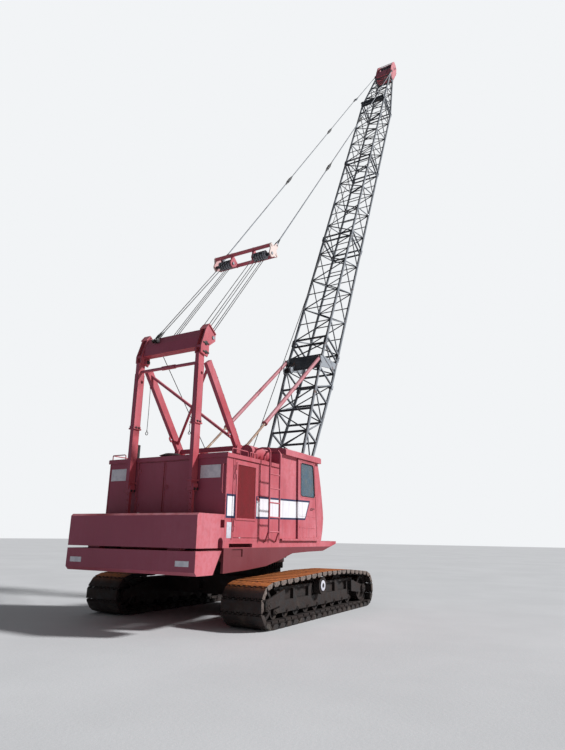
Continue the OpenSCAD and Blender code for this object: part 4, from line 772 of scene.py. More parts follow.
def loop_point(distance):
    """Point (y, z) of the shoes' outer faces at a distance along the track."""
    m = distance % TRACK_LENGTH
    if m < 2 * WHEEL_Y:
        return Vector((m - WHEEL_Y, 0))
    m -= 2 * WHEEL_Y
    if m < TRACK_ARC:
        a = m / TRACK_R - math.pi / 2
        return Vector((WHEEL_Y + TRACK_R * math.cos(a), TRACK_R + TRACK_R * math.sin(a)))
    m -= TRACK_ARC
    for a, b, run in zip(TRACK_TOP, TRACK_TOP[1:], TOP_RUNS):
        if m < run:
            return Vector(a).lerp(Vector(b), m / run)
        m -= run
    a = m / TRACK_R + math.pi / 2
    return Vector((-WHEEL_Y + TRACK_R * math.cos(a), TRACK_R + TRACK_R * math.sin(a)))


def cast_shoe():
    """One track shoe with its outer face at Z 0: toothed edges, drive lugs, end caps and hinge pin."""
    unit = Piece("shoe", None, SHOE)
    w = SHOE_HALF_W
    unit.block((-w, -0.100, -0.046), (w, 0.100, 0), 0.007)
    teeth = 15
    tooth = 2 * w / teeth
    for i in range(teeth):
        x = -w + i * tooth
        way = 1 if i % 2 else -1
        unit.box((x + 0.006, way * 0.094, -0.044), (x + tooth - 0.006, way * 0.128, -0.009))
    for x in (-0.335, 0, 0.335):
        unit.block((x - 0.05, -0.085, -0.074), (x + 0.05, 0.085, -0.040), 0.006)
    for x in (-0.185, 0.185):
        unit.block((x - 0.085, -0.112, -0.108), (x + 0.085, 0.112, -0.040), 0.008)
    cap = mirrored([(0.085, -0.010), (0.105, -0.040), (0.060, -0.092)])
    for s in BOTH:
        unit.plate(cap, s * (w - 0.002), s * (w - 0.060), soft=0.005)
    unit.across(-w + 0.02, w - 0.02, 0.128, -0.058, 0.016, 12, 0)
    return unit


def track_shoes():
    """The cast shoes of each side, whose toothed edges reach into each other."""
    pitch = TRACK_LENGTH / SHOES
    half = pitch / 2 - 0.013
    for side, sign in SIDES:
        spots = []
        for k in range(SHOES):
            a, b = (loop_point((k + 0.5) * pitch + reach) for reach in (-half, half))
            middle = (a + b) / 2
            run = (b - a).normalized()
            y, z = Vector((0, run.x, run.y)), Vector((0, run.y, -run.x))
            turn = Matrix((y.cross(z), y, z)).transposed().to_euler()
            spots.append(((sign * TRACK_X, middle.x, middle.y), tuple(turn)))
        shoes = repeated(f"track_shoes_{side}", "undercarriage", cast_shoe(), spots)
        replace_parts(shoes, f"track_{side}")


track_shoes()


def wheel_caps():
    """Hub covers with their rings of bolts on the outer ends of the track wheels."""
    spots = []

    def bolt_ring(x, y, z, radius, count, phase):
        for c, s in circle(count, phase):
            spots.append(((x, y + radius * c, z + radius * s), turn_to((sign, 0, 0))))

    for side, sign in reversed(SIDES):
        caps = Piece(f"hub_covers_{side}", "undercarriage", TRACK)
        discs = Piece(f"wheel_discs_{side}", "undercarriage", PLATE)
        face = TRACK_X * sign
        for y in (-WHEEL_Y, WHEEL_Y):
            cover = ((0, 0.02), (0, 0.098), (0.010, 0.092), (0.016, 0.055), (0.024, 0.050), (0.024, 0.02))
            x = face + sign * 0.342
            caps.turned([(sign * d, r) for d, r in cover], (x, y, TRACK_R))
            bolt_ring(x + sign * 0.009, y, TRACK_R, 0.075, 8, 0.5)
        for i in range(9):
            y, z = -1.860 + 0.45 * i, 0.2403
            caps.disc((face + sign * 0.2105, y, z), "X", 0, sign * 0.012, 0.012, 0.045, 0.005, 24)
            bolt_ring(face + sign * 0.222, y, z, 0.028, 3, 3 * i / (2 * math.pi))
        caps.done()
        for x, y, z, r0, r1 in (
            (0.375, -0.085, 0.6272, 0.050, 0.112),
            (0.343, WHEEL_Y, TRACK_R, 0.018, 0.070),
            (0.343, -WHEEL_Y, TRACK_R, 0.018, 0.074),
        ):
            dish = ((0, r0), (0, r1), (0.004, r1 - 0.004), (0.006, r0 + 0.012), (0.006, r0))
            discs.turned([(sign * d, r) for d, r in dish], (face + sign * x, y, z), sides=40)
        discs.done()
    repeated("hub_bolts", "undercarriage", bolt(0.010, TRACK), spots)


wheel_caps()


# HOUSE


def rear_wall():
    """Frames, blank plates, grab bar, ring handles and latch of the rear wall and its doors."""
    y = REAR_Y

    def proud(piece, x0, x1, z0, z1, height, soft=0.003):
        piece.block((x0, y - height, z0), (x1, y + 0.002, z1), soft)

    plates = Piece("blank_plates_rear", "upper", PLATE)
    proud(plates, -1.49, -1.03, 2.735, 2.985, 0.004, 0.002)
    proud(plates, 0.92, 1.405, 2.715, 2.965, 0.004, 0.002)
    plates.done()
    strips = Piece("rear_wall_strips", "upper", RED)
    for s in BOTH:
        proud(strips, s * 0.745 - 0.012, s * 0.745 + 0.012, 2.02, 3.12, 0.014)
        proud(strips, s * 1.535 - 0.013, s * 1.535 + 0.013, DECK_Z + 0.02, 3.09, 0.009)
    proud(strips, -0.757, 0.757, 2.028, 2.052, 0.014)
    strips.done()
    grab = Piece("rear_grab_bar", "upper", RED)
    bends = ((-0.002, 2.42), (0.045, 2.425), (0.055, 2.45), (0.055, 2.93), (0.045, 2.955), (-0.002, 2.96))
    grab.pipe([(1.49, y - out, z) for out, z in bends], 0.010)
    grab.done()
    for side, s in SIDES:
        fittings = Piece(f"rear_door_fittings_{side}", f"{side}_rear_door", RED)
        x = s * 0.075
        if s > 0:
            fittings.disc((x, y, 2.59), "Y", 0.002, -0.006, 0.014, 0.050, 0.004, 24)
            fittings.hoop((x, y - 0.016, 2.565), "Y", 0.040, 0.006)
            proud(fittings, x - 0.012, x + 0.012, 2.592, 2.612, 0.020)
        proud(fittings, s * 0.026 - 0.012, s * 0.026 + 0.012, 2.072, 3.078, 0.010)
        fittings.done()


rear_wall()


def side_walls():
    """Corner strips, door frames and latches of the two side walls, and a blank plate.

    On the left the corners of each block change sides, which swells it by its rounding.
    """
    for side, s in SIDES:
        x = s * HALF_W
        strips = Piece(f"side_wall_strips_{side}", "upper", STRIPED)
        for y in (-2.835, -1.845, -1.030):
            strips.block((x - s * 0.002, y - 0.012, 1.57), (x + s * 0.010, y + 0.012, 3.10), 0.003)
        strips.block((x - s * 0.002, -2.846, 3.105), (x + s * 0.010, -1.834, 3.128), 0.003)
        strips.done()
        latch = Piece(f"side_door_latch_{side}", f"{side}_side_door", RED)
        latch.disc((x, -1.925, 2.38), "X", 0, s * 0.010, 0.012, 0.042, 0.004, 24)
        latch.hoop((x + s * 0.018, -1.925, 2.352), "X", 0.036, 0.006)
        latch.block((x - s * 0.002, -1.935, 2.375), (x + s * 0.024, -1.915, 2.395), 0.003)
        latch.done()
    plate = Piece("blank_plate_side", "upper", PLATE)
    plate.block((HALF_W - 0.002, -3.00, 1.60), (HALF_W + 0.004, -2.85, 1.89), 0.002)
    plate.done()


side_walls()


def roof_rails():
    """Low guard rails near the rear corners of the roof, and the drip seams between its sheets."""
    rails = Piece("roof_guard_rails", "upper", RED)
    foot = ROOF_Z - 0.002
    top = ROOF_Z + 0.115
    low = top - 0.02
    rails.pipe(
        [
            (-1.54, -3.02, foot),
            (-1.54, -3.02, low),
            (-1.535, -3.015, top),
            (-1.20, -3.01, top),
            (-1.17, -3.01, low),
            (-1.17, -3.01, foot),
        ],
        0.011,
    )
    run = ((-3.02, top - 0.005), (-2.45, top - 0.005), (-2.42, low), (-2.42, foot))
    rails.pipe([(-1.54, y, z) for y, z in run], 0.011)
    for y0, y1 in ((-2.86, -2.30), (-2.22, -1.95)):
        run = ((y0, foot), (y0, low), (y0 + 0.02, top), (y1 - 0.02, top), (y1, low), (y1, foot))
        rails.pipe([(1.52, y, z) for y, z in run], 0.011)
        rails.bar((1.52, (y0 + y1) / 2, foot), (1.52, (y0 + y1) / 2, top), 0.009)
    rails.done()
    seams = Piece("roof_seams", "upper", RED)
    for y in (-2.45, -1.75):
        seams.block((-1.56, y - 0.010, foot), (1.56, y + 0.010, ROOF_Z + 0.012), 0.003)
    seams.block((-1.574, -3.084, foot), (1.574, -3.066, ROOF_Z + 0.010), 0.003)
    seams.done()


roof_rails()


def counterweight_fittings():
    """Blank plates near the ends of the lower counterweight block."""
    y = -3.930
    plates = Piece("blank_plates_counterweight", "upper", PLATE)
    for x0, x1 in ((-1.48, -1.17), (1.15, 1.45)):
        plates.block((x0, y - 0.0005, 1.12), (x1, y + 0.002, 1.215), 0)
    plates.done()


counterweight_fittings()


# CAB


def slanted(rear, low_front, high_front, z0, z1):
    """Outline of a door or window whose front edge leans back."""
    return [(rear, z0), (low_front, z0), (high_front, z1), (rear, z1)]


def cab_door():
    """Sliding cab door: a pan with a raised rim, a sealed window and a dark pull handle."""
    body = "sliding_cab_door"
    x = 1.558
    outer = x + 0.031
    shape = slanted(-0.250, 0.760, 0.620, 1.599, 3.405)
    window = rounded(slanted(-0.110, 0.620, 0.530, 2.560, 3.330), 0.070)
    pan = Piece("cab_door_pan", body, STRIPED)
    pan.pierced(shape, window, x, outer)
    rim = slanted(-0.215, 0.722, 0.588, 1.634, 3.372)
    pan.pierced(shape, rounded(rim, 0.020, 3), outer, x + 0.038)
    lip = slanted(-0.145, 0.660, 0.562, 2.525, 3.362)
    pan.pierced(rounded(lip, 0.095), window, outer, x + 0.036)
    for z in (1.86, 2.12):
        pan.block((x + 0.030, -0.17, z - 0.02), (x + 0.035, 0.62, z + 0.02), 0.002)
    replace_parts(pan.done(), "cab_door")
    pane = Piece("cab_door_pane", body, GLASS)
    glass = rounded(slanted(-0.120, 0.631, 0.540, 2.550, 3.340), 0.078)
    pane.plate(glass, x + 0.014, x + 0.022, soft=0)
    pane.done()
    seal = Piece("cab_door_seal", body, SEAL)
    for depth, radius in ((0.036, 0.0085), (0.018, 0.0100)):
        seal.ring([(x + depth, y, z) for y, z in window], radius)
    seal.done()
    handle = Piece("cab_door_handle", body, BLACK)
    for y in (0.395, 0.515):
        handle.across(x + 0.030, x + 0.068, y, 2.290, 0.009, 12, 0.002)
    handle.bar((x + 0.068, 0.380, 2.290), (x + 0.068, 0.530, 2.290), 0.0095, 14, 0.003)
    handle.done()


cab_door()

# Height over the deck and forward reach of the bowed front of the cab
CAB_BOW = (
    (0, 1.045),
    (0.25, 1.130),
    (0.53, 1.180),
    (0.69, 1.165),
    (0.99, 1.110),
    (1.32, 1.040),
    (1.64, 0.950),
    (1.90, 0.862),
)


def cab_front(x, z, proud):
    """A point that stands proud of the bowed front of the cab."""
    rise = z - DECK_Z
    for (z0, y0), (z1, y1) in zip(CAB_BOW, CAB_BOW[1:]):
        if rise <= z1:
            return (x, y0 + (y1 - y0) * (rise - z0) / (z1 - z0) + proud, z)
    return (x, CAB_BOW[-1][1] + proud, z)


def cab_windows():
    """Rubber seals round the front and inner panes, and a wiper."""
    seals = Piece("cab_window_seals", "upper", SEAL)
    for z0, z1 in ((2.300, 3.330), (1.720, 2.120)):
        heights = [z0 + (z1 - z0) * k / 14 for k in range(15)]
        up = [cab_front(0.735, z, 0.002) for z in heights]
        down = [cab_front(1.480, z, 0.002) for z in reversed(heights)]
        seals.ring(up + down, 0.010)
    side = rounded(rectangle(-0.800, 0.740, 2.500, 3.320), 0.015, 3)
    seals.ring([(0.664, y, z) for y, z in side], 0.010)
    seals.done()
    wiper = Piece("cab_wiper", "upper", BLACK)
    x, y, z = cab_front(1.108, 3.365, 0)
    wiper.bar((x, y - 0.01, z), (x, y + 0.034, z + 0.012), 0.016, 12, 0.003)
    tip = cab_front(1.020, 2.800, 0.030)
    wiper.pipe([(x, y + 0.030, z + 0.010), cab_front(1.075, 3.150, 0.036), tip], 0.006, 8)
    wiper.pipe([cab_front(1.020, 2.560 + 0.048 * k, 0.016) for k in range(11)], 0.007, 6)
    wiper.bar(tip, (tip[0], tip[1] - 0.018, tip[2]), 0.006, 8)
    wiper.done()


cab_windows()


def pad(name, low, high, face, ribs, place):
    """A stuffed vinyl pad between two corners, quilted across its front where the ribs say."""
    shape = Piece(name, None, VINYL)
    shape.block(low, high, 0.024)
    made = placed(name, shape.to_mesh())
    even = made.modifiers.new("even", "REMESH")
    even.mode = "VOXEL"
    even.voxel_size = 0.011
    data = evaluated(made)
    made.modifiers.clear()
    made.data = data
    across = 3 - face
    held = []
    for v in data.vertices:
        near = min(abs(v.co[across] - rib) for rib in ribs)
        if v.co[face] > high[face] - 0.020 and near < 0.030:
            v.co[face] -= 0.014 * (1 - (near / 0.030) ** 2) ** 2
            if near < 0.007:
                held.append(v.index)
        elif v.co[face] < low[face] + 0.014:
            held.append(v.index)
    before = [v.co.copy() for v in data.vertices]
    made.vertex_groups.new(name="held").add(held, 1.0, "REPLACE")
    blown = made.modifiers.new("blown", "CLOTH")
    blown.settings.vertex_group_mass = "held"
    blown.settings.use_pressure = True
    blown.settings.uniform_pressure_force = 4
    blown.settings.effector_weights.gravity = 0
    blown.point_cache.frame_start = 1
    blown.point_cache.frame_end = 20
    for moment in range(1, 21):
        scene.frame_set(moment)
    after = evaluated(made)
    for v, old, new in zip(data.vertices, before, after.vertices):
        move = new.co - old
        v.co = old + move * min(1.0, 0.012 / max(move.length, 1e-6))
    made.modifiers.clear()
    made.vertex_groups.clear()
    scene.frame_set(1)
    made.modifiers.new("smooth", "SUBSURF").levels = 1
    made.data = evaluated(made)
    made.modifiers.clear()
    made.data.transform(place)
    made.data.shade_smooth()
    made.data.materials.clear()
    made.data.materials.append(VINYL.material)
    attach(made, "upper")


def seat():
    """Operator's seat: sprung pedestal with a rubber bellows, and two quilted pads with piping."""
    x0, x1 = CAB_MIDDLE - 0.250, CAB_MIDDLE + 0.250
    base = Piece("seat_pedestal", "upper", BLACK)

    def centred(x, half, y0, y1, z0, z1, soft=0.004):
        base.block((x - half, y0, z0), (x + half, y1, z1), soft)

    centred(CAB_MIDDLE, 0.150, -0.330, -0.030, CAB_FLOOR, CAB_FLOOR + 0.021)
    for k in range(7):
        grow = 0.128 if k % 2 else 0.142
        z = 1.612 + 0.034 * k
        centred(CAB_MIDDLE, grow, -0.180 - grow, -0.180 + grow, z, z + 0.034, 0.014)
    centred(CAB_MIDDLE, 0.145, -0.330, -0.030, 1.850, 1.872)
    for s in BOTH:
        centred(CAB_MIDDLE + s * 0.120, 0.016, -0.395, 0.060, 1.872, 1.896, 0.003)
        centred(CAB_MIDDLE + s * 0.185, 0.018, -0.455, -0.425, 1.900, 2.300, 0.005)
    centred(CAB_MIDDLE, 0.230, -0.400, 0.070, 1.896, 1.921, 0.006)
    base.pipe([(x1 - 0.05, -0.02, 1.885), (x1 + 0.01, -0.02, 1.885), (x1 + 0.02, 0.06, 1.890)], 0.006, 8)
    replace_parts(base.done(), "operator_seat")
    pad("seat_cushion", (x0, -0.420, 1.921), (x1, 0.090, 2.040), 2, (-0.250, -0.080), Matrix())
    lean = local_frame(-0.355, 2.045, 6.4)
    pad("seat_back", (x0 + 0.010, -0.055, 0), (x1 - 0.010, 0.050, 0.600), 1, (0.180, 0.360), lean)
    piping = Piece("seat_piping", "upper", VINYL)
    edge = rounded(rectangle(x0 + 0.002, x1 - 0.002, -0.418, 0.088), 0.024)
    piping.ring([(x, y, 2.016) for x, y in edge], 0.005)
    edge = rounded(rectangle(x0 + 0.012, x1 - 0.012, 0.002, 0.598), 0.024)
    piping.ring([lean @ Vector((x, 0.028, z)) for x, z in edge], 0.005)
    piping.done()


seat()


def controls():
    """Knobs on the five levers and two pedals on the floor in front of the seat."""
    knobs = Piece("lever_knobs", "upper", BLACK)
    ball = [(-0.022, 0.004), (-0.018, 0.012), (-0.008, 0.019)]
    ball += [(0.006, 0.021), (0.017, 0.014), (0.022, 0.004)]
    for i in range(-2, 3):
        x = CAB_MIDDLE + 0.095 * i
        knobs.turned(ball, (x, 0.520, 2.478), "Z", 16)
        knobs.hoop((x, 0.598, 2.246), "Z", 0.016, 0.006, 16)
    pedal = [(0.285, 1.655), (0.395, 1.735), (0.388, 1.745), (0.278, 1.665)]
    for s in BOTH:
        x = CAB_MIDDLE + s * 0.120
        knobs.plate(pedal, x - 0.040, x + 0.040, soft=0.002)
        knobs.bar((x, 0.350, 1.700), (x, 0.445, 1.620), 0.010, 10)
    knobs.done()


controls()


# ENGINE, DECKS AND ROOF


def engine_castings():
    """Six-cylinder diesel behind the drums: feet, crankcase, heads, covers and manifolds."""
    body = Piece("engine_castings", "upper", STEEL)
    for s in BOTH:
        body.box((s * 0.300, -2.740, 1.552), (s * 0.400, -1.540, 1.655), 0.006)
        for y in (-2.300, -1.720):
            body.box((s * 0.180, y - 0.05, 1.655), (s * 0.390, y + 0.05, 1.730), 0.008)
    crankcase = mirrored([(0.200, 1.700), (0.255, 1.800), (0.235, 2.160)])
    body.plate(crankcase, -2.450, -1.640, "XZ", 0.010)
    body.plate(mirrored([(0.140, 1.600), (0.190, 1.702)]), -2.400, -1.700, "XZ", 0.010)
    bell = [(-0.100, 0.020), (-0.100, 0.200), (-0.060, 0.270)]
    bell += [(0.020, 0.280), (0.050, 0.260), (0.050, 0.020)]
    body.turned(bell, (0, -1.590, 1.950), "Y", 40)
    cover = mirrored([(0.105, 2.268), (0.088, 2.330), (0.050, 2.350)])
    for k in range(6):
        y = -2.430 + 0.132 * k
        middle = y + 0.059
        body.block((-0.150, y, 2.155), (0.150, y + 0.118, 2.270), 0.006)
        body.plate(cover, y + 0.008, y + 0.110, "XZ", 0.008)
        body.bar((0.130, middle, 2.210), (0.290, middle, 2.225), 0.026, 12)
        body.bar((-0.130, middle, 2.220), (-0.290, middle, 2.230), 0.024, 12)
    exhaust = (
        (0.290, -1.700, 2.225),
        (0.290, -2.380, 2.225),
        (0.285, -2.480, 2.250),
        (0.260, -2.560, 2.330),
        (0.250, -2.590, 2.440),
        (0.250, -2.590, 2.640),
    )
    body.pipe(exhaust, 0.045, 14)
    body.pipe([(-0.290, -1.700, 2.230), (-0.290, -2.400, 2.230)], 0.042, 14)
    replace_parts(body.done(), "engine_block")


engine_castings()


def engine_fittings():
    """Radiator, fan, filters and injection pipes of the engine."""
    dark = Piece("engine_fittings", "upper", BLACK)
    y0, y1 = -2.748, -2.660
    for s in BOTH:
        dark.box((s * 0.330, y0, 1.660), (s * 0.385, y1, 2.645), 0.005)
    for z0, z1 in ((2.560, 2.645), (1.660, 1.740)):
        dark.block((-0.385, y0, z0), (0.385, y1, z1), 0.012)
    for k in range(27):
        z = 1.755 + 0.030 * k
        dark.block((-0.332, -2.735, z), (0.332, -2.675, z + 0.006), 0)
    for k in range(13):
        x = -0.310 + 0.0517 * k
        dark.block((x - 0.006, -2.725, 1.738), (x + 0.006, -2.685, 2.562), 0)
    fan_z = 2.120
    dark.hoop((0, -2.610, fan_z), "Y", 0.330, 0.012, 40)
    hub = [(-0.070, 0.010), (-0.070, 0.050), (0.040, 0.062), (0.110, 0.062), (0.110, 0.010)]
    dark.turned(hub, (0, -2.580, fan_z), "Y", 24)
    blade = ((0.055, -0.16), (0.300, -0.13), (0.305, 0.16), (0.055, 0.35))
    for k in range(6):
        turned = [(r, math.pi * k / 3 + a) for r, a in blade]
        outline = [(r * math.cos(a), fan_z + r * math.sin(a)) for r, a in turned]
        dark.plate(outline, -2.600, -2.592, "XZ", 0.002)
    for y in (-2.030, -1.870):
        dark.bar((0.345, y, 1.790), (0.345, y, 2.010), 0.055, 20, 0.008)
        dark.across(0.230, 0.345, y, 1.985, 0.022, 12, 0)
    dark.block((-0.370, -2.120, 1.850), (-0.240, -1.800, 1.975), 0.010)
    dark.bar((-0.300, -2.520, 2.000), (-0.300, -2.350, 2.000), 0.070, 20, 0.008)
    for k in range(6):
        pump, head = -2.085 + 0.050 * k, -2.371 + 0.132 * k
        rise = [(-0.300, pump, 1.970), (-0.300, pump, 2.060)]
        rise += [(-0.250, head, 2.150), (-0.165, head, 2.285), (-0.080, head, 2.300)]
        dark.pipe(rise, 0.0045, 6)
    dark.done()


engine_fittings()


def deck_tread():
    """Raised diamond lugs on the walkways round the drums and the boom's foot."""
    unit = Piece("tread_lug", None, RED)
    unit.plate([(-0.017, 0), (0, -0.0045), (0.017, 0), (0, 0.0045)], -0.001, 0.003, "XY", 0)
    places = []
    gap = 0.055
    for x0, x1, y0, y1 in (
        (-1.500, -0.680, -0.950, 1.880),
        (0.680, 1.500, 1.250, 1.880),
        (-0.600, 0.600, 0.100, 0.900),
    ):
        for i in range(int((x1 - x0) / gap)):
            for j in range(int((y1 - y0) / gap)):
                turn = math.pi / 4 if (i + j) % 2 else -math.pi / 4
                spot = (x0 + gap * (i + 0.5), y0 + gap * (j + 0.5), DECK_Z)
                places.append((spot, (0, 0, turn)))
    repeated("deck_tread", "upper", unit, places, 0.05, 5)


deck_tread()


def roof_fittings():
    """Straps and end cover of the air cleaner, and the clamp and rain flap of the exhaust."""
    straps = Piece("air_cleaner_straps", "upper", RED)
    x, z = 1.130, 3.383
    for y in (-1.640, -1.180):
        for edge in (y - 0.010, y + 0.010):
            straps.hoop((x, edge, z), "Y", 0.1600, 0.004, 40, 6)
        straps.block((1.262, y - 0.016, 3.455), (1.292, y + 0.016, 3.480))
    straps.hoop((x, -1.776, z), "Y", 0.1570, 0.007, 40)
    straps.disc((x, -1.781, z), "Y", -0.010, 0.002, 0.010, 0.100, -0.012)
    straps.bar((x, -1.800, z), (x, -1.785, z), 0.014, 6, 0.002)
    straps.done()
    flap = Piece("exhaust_flap", "upper", BLACK)
    flap.hoop((-1.000, -2.850, 3.330), "Z", 0.052, 0.006, 24)
    lid = mirrored([(-0.955, -2.905), (-0.945, -2.850), (-0.970, -2.800)], -1.0)
    flap.plate(lid, 3.514, 3.519, "XY", 0.001)
    flap.across(-1.035, -0.965, -2.902, 3.517, 0.007, 10, 0)
    flap.done()


roof_fittings()


# GANTRY


def post_sleeves():
    """Welded outer plates on the upper half of each gantry post, with their bolted foot flange."""
    sleeves = Piece("gantry_post_sleeves", "upper", RED)
    dark = Piece("gantry_post_pins", "upper", BLACK)
    y0, y1 = -3.262, -3.070
    z0, z1 = 3.86, 5.02
    hole = [(-3.136 + 0.033 * c, 4.850 + 0.033 * s) for c, s in circle(24)]
    for s in BOTH:
        x0, x1 = sorted((s * (GANTRY_X - 0.051), s * (GANTRY_X + 0.051)))
        for face in (x0, x1 - 0.008):
            sleeves.pierced(rectangle(y0, y1, z0, z1), hole, face, face + 0.008)
        for face in (y0, y1 - 0.008):
            sleeves.block((x0, face, z0), (x1, face + 0.008, z1), 0.002)
        for z in (3.79, 2.66):
            sleeves.block((x0 - 0.022, y0 - 0.020, z), (x1 + 0.022, y1 + 0.020, z + 0.030))
        sleeves.block((x0 - 0.010, y0 - 0.008, 3.82), (x1 + 0.010, y1 + 0.008, 3.87))
        for z, reach in ((3.830, 0.034), (2.505, 0.060)):
            for y in (-3.205, -3.125):
                dark.across(x0 - reach, x1 + reach, y, z, 0.019, 12)
                for nut in (x0 - reach + 0.012, x1 + reach - 0.022):
                    dark.across(nut, nut + 0.010, y, z, 0.028, 6, 0.002)
        for y, z, inner, r in ((-3.085, 5.510, 0.674, 0.052), (-3.075, 5.312, 0.696, 0.042)):
            dark.across(s * inner, s * (inner - 0.014), y, z, r, 18)
            dark.across(s * 0.899, s * 0.915, y, z, r * 0.9, 18)
            dark.box((s * 0.9, y - 0.10, z - 0.016), (s * 0.911, y + 0.10, z + 0.016), 0.003)
    sleeves.done()
    dark.done()


post_sleeves()


def leg_fittings():
    """Conduit along the right leg, eye plates on the legs, and hooks that the slings hang on."""
    low, high = Vector((0, -1.650, 3.513)), Vector((0, -2.900, 5.165))
    run = (high - low).normalized()
    front = Vector((0, run.z, -run.y))
    conduit = Piece("leg_conduit", "upper", DARK_RED)
    side = Vector((0.852, 0, 0))
    conduit.pipe([low.lerp(high, k / 10) + front * 0.101 + side for k in range(1, 10)], 0.010, 8)
    for k in (2, 4, 6, 8):
        spot = low.lerp(high, k / 10) + front * 0.098 + side
        conduit.bar(spot - run * 0.012, spot + run * 0.012, 0.017, 8)
    conduit.done()
    eyes = Piece("leg_eye_plates", "upper", RED)
    pins = Piece("leg_eye_pins", "upper", PLATE)
    spot = low.lerp(high, 0.20) - front * 0.088
    pin = spot - front * 0.055
    reach = ((-0.10, 0), (0.10, 0), (0.05, 0.085), (-0.05, 0.085))
    corners = [spot + run * a - front * b for a, b in reach]
    for x in (-GANTRY_X, GANTRY_X):
        eyes.plate([(p.y, p.z) for p in corners], x - 0.010, x + 0.010)
        pins.across(x - 0.030, x + 0.030, pin.y, pin.z, 0.019, 14)
    hook = [(-2.715, 4.862), (-2.765, 4.858), (-2.786, 4.838)]
    hook += [(-2.782, 4.816), (-2.764, 4.808), (-2.752, 4.822)]
    eyes.pipe([(-0.850, y, z) for y, z in hook], 0.009, 8)
    small_hook = (
        (0.785, -3.240, 3.776),
        (0.765, -3.262, 3.775),
        (0.748, -3.273, 3.765),
        (0.746, -3.274, 3.754),
        (0.756, -3.266, 3.749),
    )
    eyes.pipe(small_hook, 0.006, 8)
    eyes.done()
    pins.done()


leg_fittings()


# BOOM


def half_width(s):
    """Half the width between the chords at a distance from the boom's foot pin."""
    return 0.585 - 0.185 * max(0.0, s - TIP_START) / TIP_L


def half_depth(s):
    """Half the depth between the chords at a distance from the boom's foot pin."""
    if s < TAPER_L:
        return 0.100 + 0.385 * s / TAPER_L
    return 0.485 - 0.285 * max(0.0, s - TIP_START) / TIP_L


def corner(s, across, off):
    return Vector((across * half_width(s), s, off * half_depth(s)))


def lacing_members():
    """Both ends and the radius of each lacing tube and cross strut of the boom."""
    end = 0.150
    # Start, end, panels, phase of the zigzag, and whether each frame is heavy
    stretches = [(0.780, BAND_S[0], 6, 0, True), (BAND_S[1], BASE_L - end, 1, 0, True)]
    for i in range(3):
        start = BASE_L + i * INSERT_L
        stretches.append((start + end, start + INSERT_L - end, 7, i % 2, False))
    stretches.append((TIP_START + end, HEAD_START - end, 5, 1, False))
    members = []
    for s0, s1, panels, phase, framed in stretches:
        run = (s1 - s0) / panels
        for i in range(panels):
            a, b = s0 + i * run, s0 + (i + 1) * run
            way = 1 if (i + phase) % 2 == 0 else -1
            for c in BOTH:
                members.append((corner(a, c, -c * way), corner(b, c, c * way), 0.022))
                members.append((corner(a, -c * way, c), corner(b, c * way, c), 0.021))
        for i in range(panels + 1):
            s = s0 + i * run
            heavy = framed or i in (0, panels)
            for c in BOTH:
                members.append((corner(s, -1, c), corner(s, 1, c), 0.034 if heavy else 0.018))
                if heavy:
                    members.append((corner(s, c, -1), corner(s, c, 1), 0.034))
    return members


def weld_beads():
    """A bead of weld round each lacing tube and each cross strut where it meets a chord."""
    turn = ON_BOOM.to_3x3()
    along_chord = turn @ Vector((0, 1, 0))
    spots = {"lacing_welds": [], "strut_welds": []}
    for a, b, radius in lacing_members():
        run = (b - a).normalized()
        slant = math.sqrt(max(0.05, 1 - run.y**2))
        for end, way in ((a, run), (b, -run)):
            off = Vector((way.x, 0, way.z)).normalized()
            where = ON_BOOM @ (end + way * (CHORD_R / slant))
            key = "strut_welds" if radius > 0.03 else "lacing_welds"
            spots[key].append((where, turn_to(turn @ off, along_chord)))
    for name, ring, stretch in (("lacing_welds", 0.0225, 1.24), ("strut_welds", 0.0355, 1.0)):
        unit = Piece(name + "_bead", None, SLATE)
        unit.hoop((0, 0, 0.001), "Z", ring, 0.0065, 12, 4)
        bmesh.ops.scale(unit.mesh, vec=(1, stretch, 1), verts=unit.mesh.verts)
        repeated(name, "boom", unit, spots[name], 0.1, 7)


weld_beads()

OFF_BACK = ON_BOOM.to_3x3() @ Vector((0, 0, 1))


def joint_pins():
    """Pins with heads and spring clips through the lugs at every joint of the boom's sections."""
    unit = Piece("joint_pin", None, SLATE)
    unit.bar((0, 0, -0.056), (0, 0, 0.066), 0.024, 16, 0.004)
    unit.bar((0, 0, -0.064), (0, 0, -0.045), 0.037, 16, 0.004)
    unit.hoop((0, 0, 0.058), "X", 0.020, 0.004, 12, 4)
    lug = mirrored([(0.075, -0.040), (0.090, 0), (0.075, 0.040)])
    for z in (-0.052, 0.026):
        unit.plate(lug, z, z + 0.026, "XY")
    spots = []
    for s in (BASE_L, BASE_L + INSERT_L, BASE_L + 2 * INSERT_L, TIP_START):
        for cx in BOTH:
            for cn in BOTH:
                spots.append((ON_BOOM @ corner(s, cx, cn), turn_to((cx, 0, 0), OFF_BACK)))
    repeated("boom_joint_pins", "boom", unit, spots)


joint_pins()


def rope_guide():
    """Splice plate and guide roller across the back where the tip section starts."""
    guide = Piece("rope_guide", "boom", SLATE, ON_BOOM)
    s = TIP_START
    guide.block((-0.570, s - 0.165, 0.470), (0.570, s + 0.165, 0.496))
    cheek = ((-0.110, 0.520), (0.110, 0.520), (0.075, 0.640), (-0.035, 0.665), (-0.085, 0.640))
    for x in (-0.600, 0.564):
        guide.plate([(s + y, z) for y, z in cheek], x, x + 0.036)
    guide.across(-0.640, 0.640, s + 0.010, 0.600, 0.022, 16, 0.004)
    for x in (-0.40, 0.40):
        guide.block((x - 0.012, s - 0.06, 0.490), (x + 0.012, s + 0.06, 0.585), 0.003)
    roller = [(0.50, 0.050), (0.52, 0.066), (0.55, 0.066), (0.55, 0.024)]
    roller = [(-d, r) for d, r in reversed(roller)] + roller
    guide.turned(roller, (0, s + 0.010, 0.600), sides=24)
    guide.done()


rope_guide()


